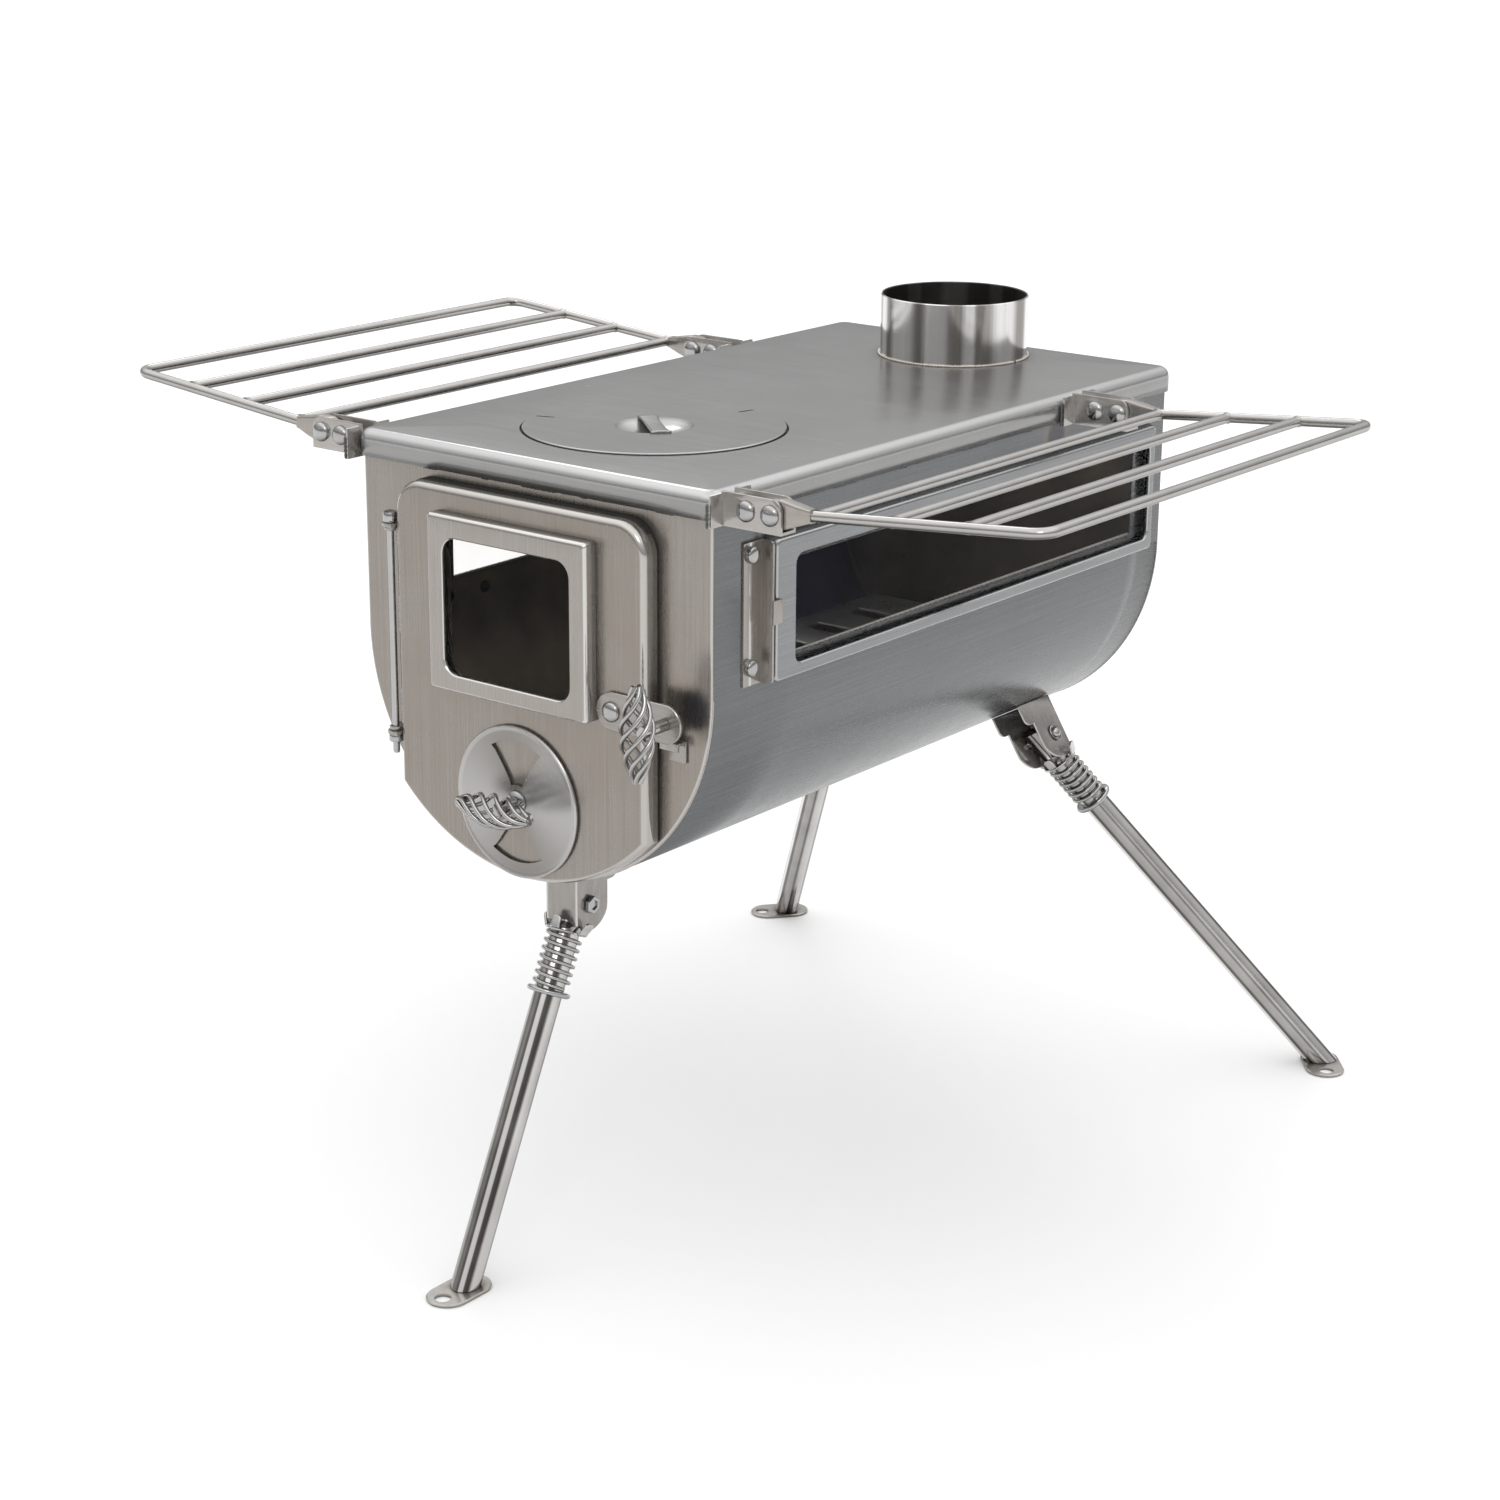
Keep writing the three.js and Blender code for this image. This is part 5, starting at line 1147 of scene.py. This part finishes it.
rod_steel = bright("rod_steel", 0.42, 0.03, 0.17, painted_underside_shade=0.95)
arm_steel = steel("arm_steel", 0.32, 0.08, 0.22, (60, 500, 500))
rack_steel = steel("rack_steel", 0.38, 0.05, 0.20, (60, 500, 500))
for side, hand in (("right", 1), ("left", -1)):
    tubes(f"rack_rods_{side}", rack_rods(hand), rod_steel, f"rack_{side}", [f"side_rack_{side}"])
    tubes(f"rack_arms_{side}", [rack_place(arm(y), hand) for y in (rack_front, rack_back)], arm_steel,
          f"rack_{side}", ())
    for end, y in (("front", rack_front), ("rear", rack_back)):
        dressed(f"rack_bracket_{end}_{side}", rack_steel, "stove", 0.5)
        dressed(f"rack_pivot_{end}_{side}", polished_steel, "stove", 0.2)
        for label, x in (("pivot", rack_pivot[0]), ("stop", rack_pivot[0] - rivet_spacing)):
            for face in (-1, 1):
                rivet(f"{label}_head_{end}_{side}_{'a' if face < 0 else 'b'}",
                      (hand * x, y + face * rivet_out, rack_pivot[1]), (0, face, 0), "stove", height=2.9)
    flange_welds = [
        bead(np.linspace((hand * flange_x, y + turn * flange_half, flange_low),
                         (hand * flange_x, y + turn * flange_half, flange_high), 8), 0.9, (0, 1, 0), 2.2)
        for y in (rack_front, rack_back) for turn in (-1, 1)]
    tubes(f"flange_welds_{side}", flange_welds, dark_weld, "stove")

# ---------------------------------------------------------------- legs
# Each leg is a tube that turns on a bolt in a welded bracket. A sprung star collar grips the
# bracket's lower end and has to be pulled down before the leg folds. Its flat foot takes a peg.

spring_start, spring_run, spring_curls, spring_wire, spring_radius = 19.7, 29.2, 6.5, 1.15, 9.5
tube_radius, crimp, bracket_half = 8.0, (9.3, 4.5), 11.0
collar_drop, seat_drop = 17.75, 50.2
star_fingers, finger_rise = ((12.7, 2.9, 2.8), (10.1, 2.8, 0)) * 2, 7.2
# painted reflections: for each stripe, an angle round the tube, a half width and a brightness
tube_reflection_stripes = ((70, 30, 0.35), (114, 13, 1.0), (172, 32, 0.62), (-188, 32, 0.62), (-118, 16, 0.9),
                (-70, 24, 0.4), (-20, 30, 0.7), (28, 12, 0.9))


def leg_frame(name):
    """The pivot and the leg's own axes: across the bolt, and up along the tube."""
    joints = {j["name"]: j for j in frame["joints"]}
    fold, slide = joints["leg_fold_" + name], joints["lock_slide_" + name]
    pivot = np.array(fold["pos_m"]) / mm
    across = -np.array(fold["axis"], float)
    up = -np.array(slide["axis"], float)
    return pivot, across / np.linalg.norm(across), up / np.linalg.norm(up)


def leg_place(points, name):
    """Points of [across, out, up] in a leg's own axes, on the stove."""
    pivot, across, up = leg_frame(name)
    points = np.asarray(points, float)
    out = np.cross(up, across)
    return pivot + points[..., :1] * across + points[..., 1:2] * out + points[..., 2:3] * up


def tube_steel(name):
    """Polished tube with painted reflections: long light stripes on a dark ground, whose place follows the
    angle round the tube's axis.
    """
    pivot, across, up = leg_frame(name)
    out = np.cross(up, across)
    paint = Finish("tube_steel_" + name)
    here = paint.vector("SUBTRACT", paint.place(), tuple((pivot * mm).tolist()), 0)
    side, front = [paint.vector("DOT_PRODUCT", here, tuple(axis.tolist())) for axis in (across, out)]
    angle = front.math("ARCTAN2", front, side) * (180 / np.pi)
    drawn = paint.noise(paint.place(), (40, 40, 40), 3.0)
    tone = (drawn - 0.5) * 0.4
    for middle, half, height in tube_reflection_stripes:
        tone = (1 - paint.band(abs(angle - middle), half * 0.5, half)) * height + tone
    color = paint.mix(grey(0.11, 0.09), grey(0.78, 0.02), tone)
    return paint.set(base_color=color, metallic=1.0, roughness=0.18 + (drawn - 0.5) * 0.1)


def leg_tube(name):
    """Rings that grow from a pressed oval to a circle by a smooth step; the lowest ring is carried
    down the tube's line to the foot plate."""
    turn = np.linspace(0, 2 * np.pi, 40, endpoint=False)
    oval_end, round_start = 12.5, 16.8
    drop = np.array([-7, 0, oval_end, 13.5, 14.5, 15.5, round_start, 60, 200])[:, None]
    grow = np.clip((drop - oval_end) / (round_start - oval_end), 0, 1)
    grow = grow * grow * (3 - 2 * grow)
    half_x, half_y = [half + (tube_radius - half) * grow for half in crimp]
    rings = np.stack([half_x * np.cos(turn), half_y * np.sin(turn), -drop + 0 * turn], -1)
    rings = leg_place(rings, name)
    up = leg_frame(name)[2]
    last = rings[-1] + ((2.3 - rings[-1][:, 2]) / up[2])[:, None] * up
    return tubes(f"tube_{name}", [np.concatenate([rings, last[None]])], tube_steel(name), f"leg_{name}",
                 [f"leg_tube_{name}"])


def leg_spring(name):
    """One helix round the tube, made at one length; the spring itself shortens towards its seat as the collar
    is pulled down.
    """
    t = np.linspace(0, 1, int(spring_curls * 24) + 1)
    turn = 2 * np.pi * spring_curls * t
    path = np.column_stack([spring_radius * np.cos(turn), spring_radius * np.sin(turn),
                            -(spring_start + spring_run * t)])
    made = tubes(f"spring_{name}", [sweep(leg_place(path, name), spring_wire, leg_frame(name)[2], 10)],
                 spring_steel, f"leg_{name}", [f"leg_spring_{name}"])
    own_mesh(made)
    return made


def collar_finger(reach, half, rise, turn, lean):
    """A strip that leaves the collar's plate, bends up through an arc, leans out and ends round."""
    path = np.concatenate([[[8.6, 0]], arc((reach - 1.4, 1.4), 1.4, -90, 0, 6),
                           [[reach + lean * k, rise * k] for k in (0.6, 0.84, 0.95, 1.0)]])
    width = np.full(len(path), half)
    width[-3:] = half * np.array([0.97, 0.75, 0.45])
    v = np.linspace(-1, 1, 5)
    radial = path[:, 0, None] + 0 * v
    across = width[:, None] * v
    high = path[:, 1, None] - collar_drop + 0 * v
    c, s = np.cos(turn), np.sin(turn)
    return np.stack([radial * c - across * s, radial * s + across * c, high], -1)


def lock_collar(name):
    """A washer with four strips standing on it; each has a reach, half a width and a lean."""
    pivot, across, up = leg_frame(name)
    washer = [(8.5, -0.75), (11.0, -0.75), (11.5, -0.3), (11.5, 0.3), (11.0, 0.75), (8.5, 0.75)]
    turned(f"collar_plate_{name}", washer, pivot - up * collar_drop, up, star_steel, f"lock_{name}",
           [f"lock_collar_{name}"], 48, ring=True)
    points, faces, start = [], [], 0
    for k, (reach, half, lean) in enumerate(star_fingers):
        grid = leg_place(collar_finger(reach, half, finger_rise, k * np.pi / 2, lean), name)
        points.append(grid.reshape(-1, 3))
        faces += grid_faces(*grid.shape[:2], start=start).tolist()
        start += grid.shape[0] * grid.shape[1]
    made = piece(f"collar_fingers_{name}", np.concatenate(points), faces, star_steel, f"lock_{name}",
                 ())
    gauge(made, 1.3, 0)
    edge = made.modifiers.new("soft_edges", "BEVEL")
    edge.width = 0.3 * mm
    edge.segments = 2


def spring_seat(name):
    """A ring with a round outer edge."""
    pivot, across, up = leg_frame(name)
    ring = [(8.3, -3.4)] + arc((10.7, -1.75), 1.6, -80, 80, 9).tolist() + [(8.3, -0.1)]
    turned(f"seat_{name}", ring, pivot - up * seat_drop, up, polished_steel, f"leg_{name}",
           [f"spring_ring_{name}"], 48, ring=True)


def foot_plate(name, x, y, toe):
    """A flat stadium with a peg hole in its toe, its edges broken."""
    heel, front, half = -15.4, 25.6, 12.0
    outline = stadium(heel + half, front - half, 0, half, 25)
    inner = outline * (1 - 0.5 / half * np.array([half / 20, 1]))
    peg_x, peg_radius, base, top = 17.8, 4.7, 0.2, 2.0
    hole = circle(peg_x, 0, peg_radius, 40)
    c, s = np.cos(np.radians(toe)), np.sin(np.radians(toe))

    def set_out(loop):
        return np.column_stack([x + loop[:, 0] * c - loop[:, 1] * s, y + loop[:, 0] * s + loop[:, 1] * c])

    walls = [in_xy([(set_out(outline), base), (set_out(outline), top - 0.5), (set_out(inner), top)]),
             in_xy([(set_out(hole), base), (set_out(hole), top)])]
    return sheet(f"foot_plate_{name}", walls, 1.9, (0, 0, 1), foot_steel, f"leg_{name}", [f"foot_{name}"])


def leg_bolt(name):
    """A rod with a domed head in a dark countersunk ring, and a six-sided nut at the other end."""
    pivot, across, up = leg_frame(name)
    shank = [(0.3, -13.4), (2.6, -13.4), (3.0, -13.0), (3.0, 11.4), (4.8, 11.5), (5.0, 11.8),
             (5.0, 12.2), (4.7, 12.3), (4.3, 11.6), (3.5, 11.6), (3.4, 12.6), (3.1, 13.4),
             (2.3, 14.0), (1.2, 14.3), (0.3, 14.4)]
    turned(f"bolt_{name}", shank, pivot, across, bolt_steel, "stove", [f"leg_bolt_{name}"],
           36)
    nut = [(3.05, -14.4), (4.8, -14.4), (5.2, -14.0), (5.2, -12.0), (4.8, -11.6), (3.05, -11.6)]
    turned(f"bolt_nut_{name}", nut, pivot, across, polished_steel, "stove", (), 6,
           ring=True)


def bracket_paint(name):
    """Brushed steel with a painted highlight down both bends, placed by the distance across the leg."""
    pivot, across, _ = leg_frame(name)

    def bends(paint, here):
        """The painted highlight: 1 on the two bends."""
        side = paint.vector("DOT_PRODUCT", here, tuple(across.tolist()))
        out = abs(side - float(pivot @ across) * mm)
        return paint.band(out, (bracket_half - 1.6) * mm, (bracket_half - 0.6) * mm) * (
            1 - paint.band(out, bracket_half * mm, (bracket_half + 0.3) * mm))

    return steel("leg_steel_" + name, 0.30, 0.06, 0.25, (400, 400, 60), painted_highlight=bends)


foot_places = (("front", 0, -279.3, -90), ("rear_right", 215.5, 290.3, -50),
               ("rear_left", -215.5, 290.3, -130))
foot_steel = steel("foot_steel", 0.38, 0.05, 0.24, (60, 60, 60), burns=tuple(
    ((x, y, 2), 13) for _, x, y, _ in foot_places))
star_steel = bright("star_steel", 0.62, 0.01, 0.12, 200, painted_underside_shade=0.7)
spring_steel = bright("spring_steel", 0.42, 0.02, 0.14, painted_underside_shade=0.8)
bolt_steel = bright("bolt_steel", 0.42, 0.02, 0.14, painted_underside_shade=0.8)
for name, x, y, toe in foot_places:
    leg_tube(name)
    leg_spring(name)
    lock_collar(name)
    spring_seat(name)
    foot_plate(name, x, y, toe)
    dressed(f"leg_bracket_{name}", bracket_paint(name), "stove", 0.5)
    leg_bolt(name)

# ---------------------------------------------------------------- floor and light
# A pale floor that runs out of sight, and a studio sky: dim at the height of the walls, bright
# overhead, so that the steel has bright and dim things to reflect. Two soft lamps add sparkle.

floor_reach = 40.0
sky_levels = ((0.0, 0.42), (0.10, 0.34), (0.24, 0.60), (0.42, 0.80), (0.60, 1.3), (0.80, 1.7), (1.0, 1.5))


def floor():
    """A flat square grid."""
    white = Finish("studio_white")
    white.set(base_color=white.mix((0.85, 0.85, 0.85, 1), (0.86, 0.86, 0.86, 1),
                                   white.noise(white.place(), (3, 3, 3))), roughness=0.9)
    u = np.linspace(-floor_reach, floor_reach, 9)
    flat = np.stack(np.meshgrid(u, u, indexing="ij") + [np.zeros((9, 9))], -1)
    mesh = bpy.data.meshes.new("floor")
    mesh.from_pydata(flat.reshape(-1, 3).tolist(), [], grid_faces(9, 9).tolist())
    mesh.materials.append(white.material)
    made = bpy.data.objects.new("floor", mesh)
    bpy.context.scene.collection.objects.link(made)


def lamp(name, place, target, size, watts):
    """A soft rectangular lamp aimed at a point."""
    light = bpy.data.lights.new(name, "AREA")
    light.shape, light.size, light.size_y, light.energy = "RECTANGLE", size[0], size[1], watts
    made = bpy.data.objects.new(name, light)
    aim = Vector(target) - Vector(place)
    made.matrix_world = Matrix.Translation(place) @ aim.to_track_quat("-Z", "Y").to_matrix().to_4x4()
    bpy.context.scene.collection.objects.link(made)


def sky():
    """Brightness as a ramp over the height of the direction, from level to overhead."""
    world = bpy.data.worlds.new("studio_sky")
    bpy.context.scene.world = world
    world.use_nodes = True
    paint = Paint(world.node_tree)
    height = paint.along(paint.node("ShaderNodeTexCoord", output="Generated"), "Z")
    brightest = max(level for _, level in sky_levels)
    stops = [(place, (level / brightest,) * 3 + (1,)) for place, level in sky_levels]
    tone = paint.node("ShaderNodeValToRGB", {"stops": stops}, {"Fac": height})
    background = world.node_tree.nodes["Background"]
    paint.feed(background.inputs["Color"], tone)
    background.inputs["Strength"].default_value = brightest


floor()
sky()
lamp("key_light", (1.6, -2.2, 2.4), (0, 0, 0.35), (1.2, 0.9), 10)
lamp("back_light", (-2.0, 1.8, 2.6), (0, 0, 0.35), (1.2, 1.0), 8)
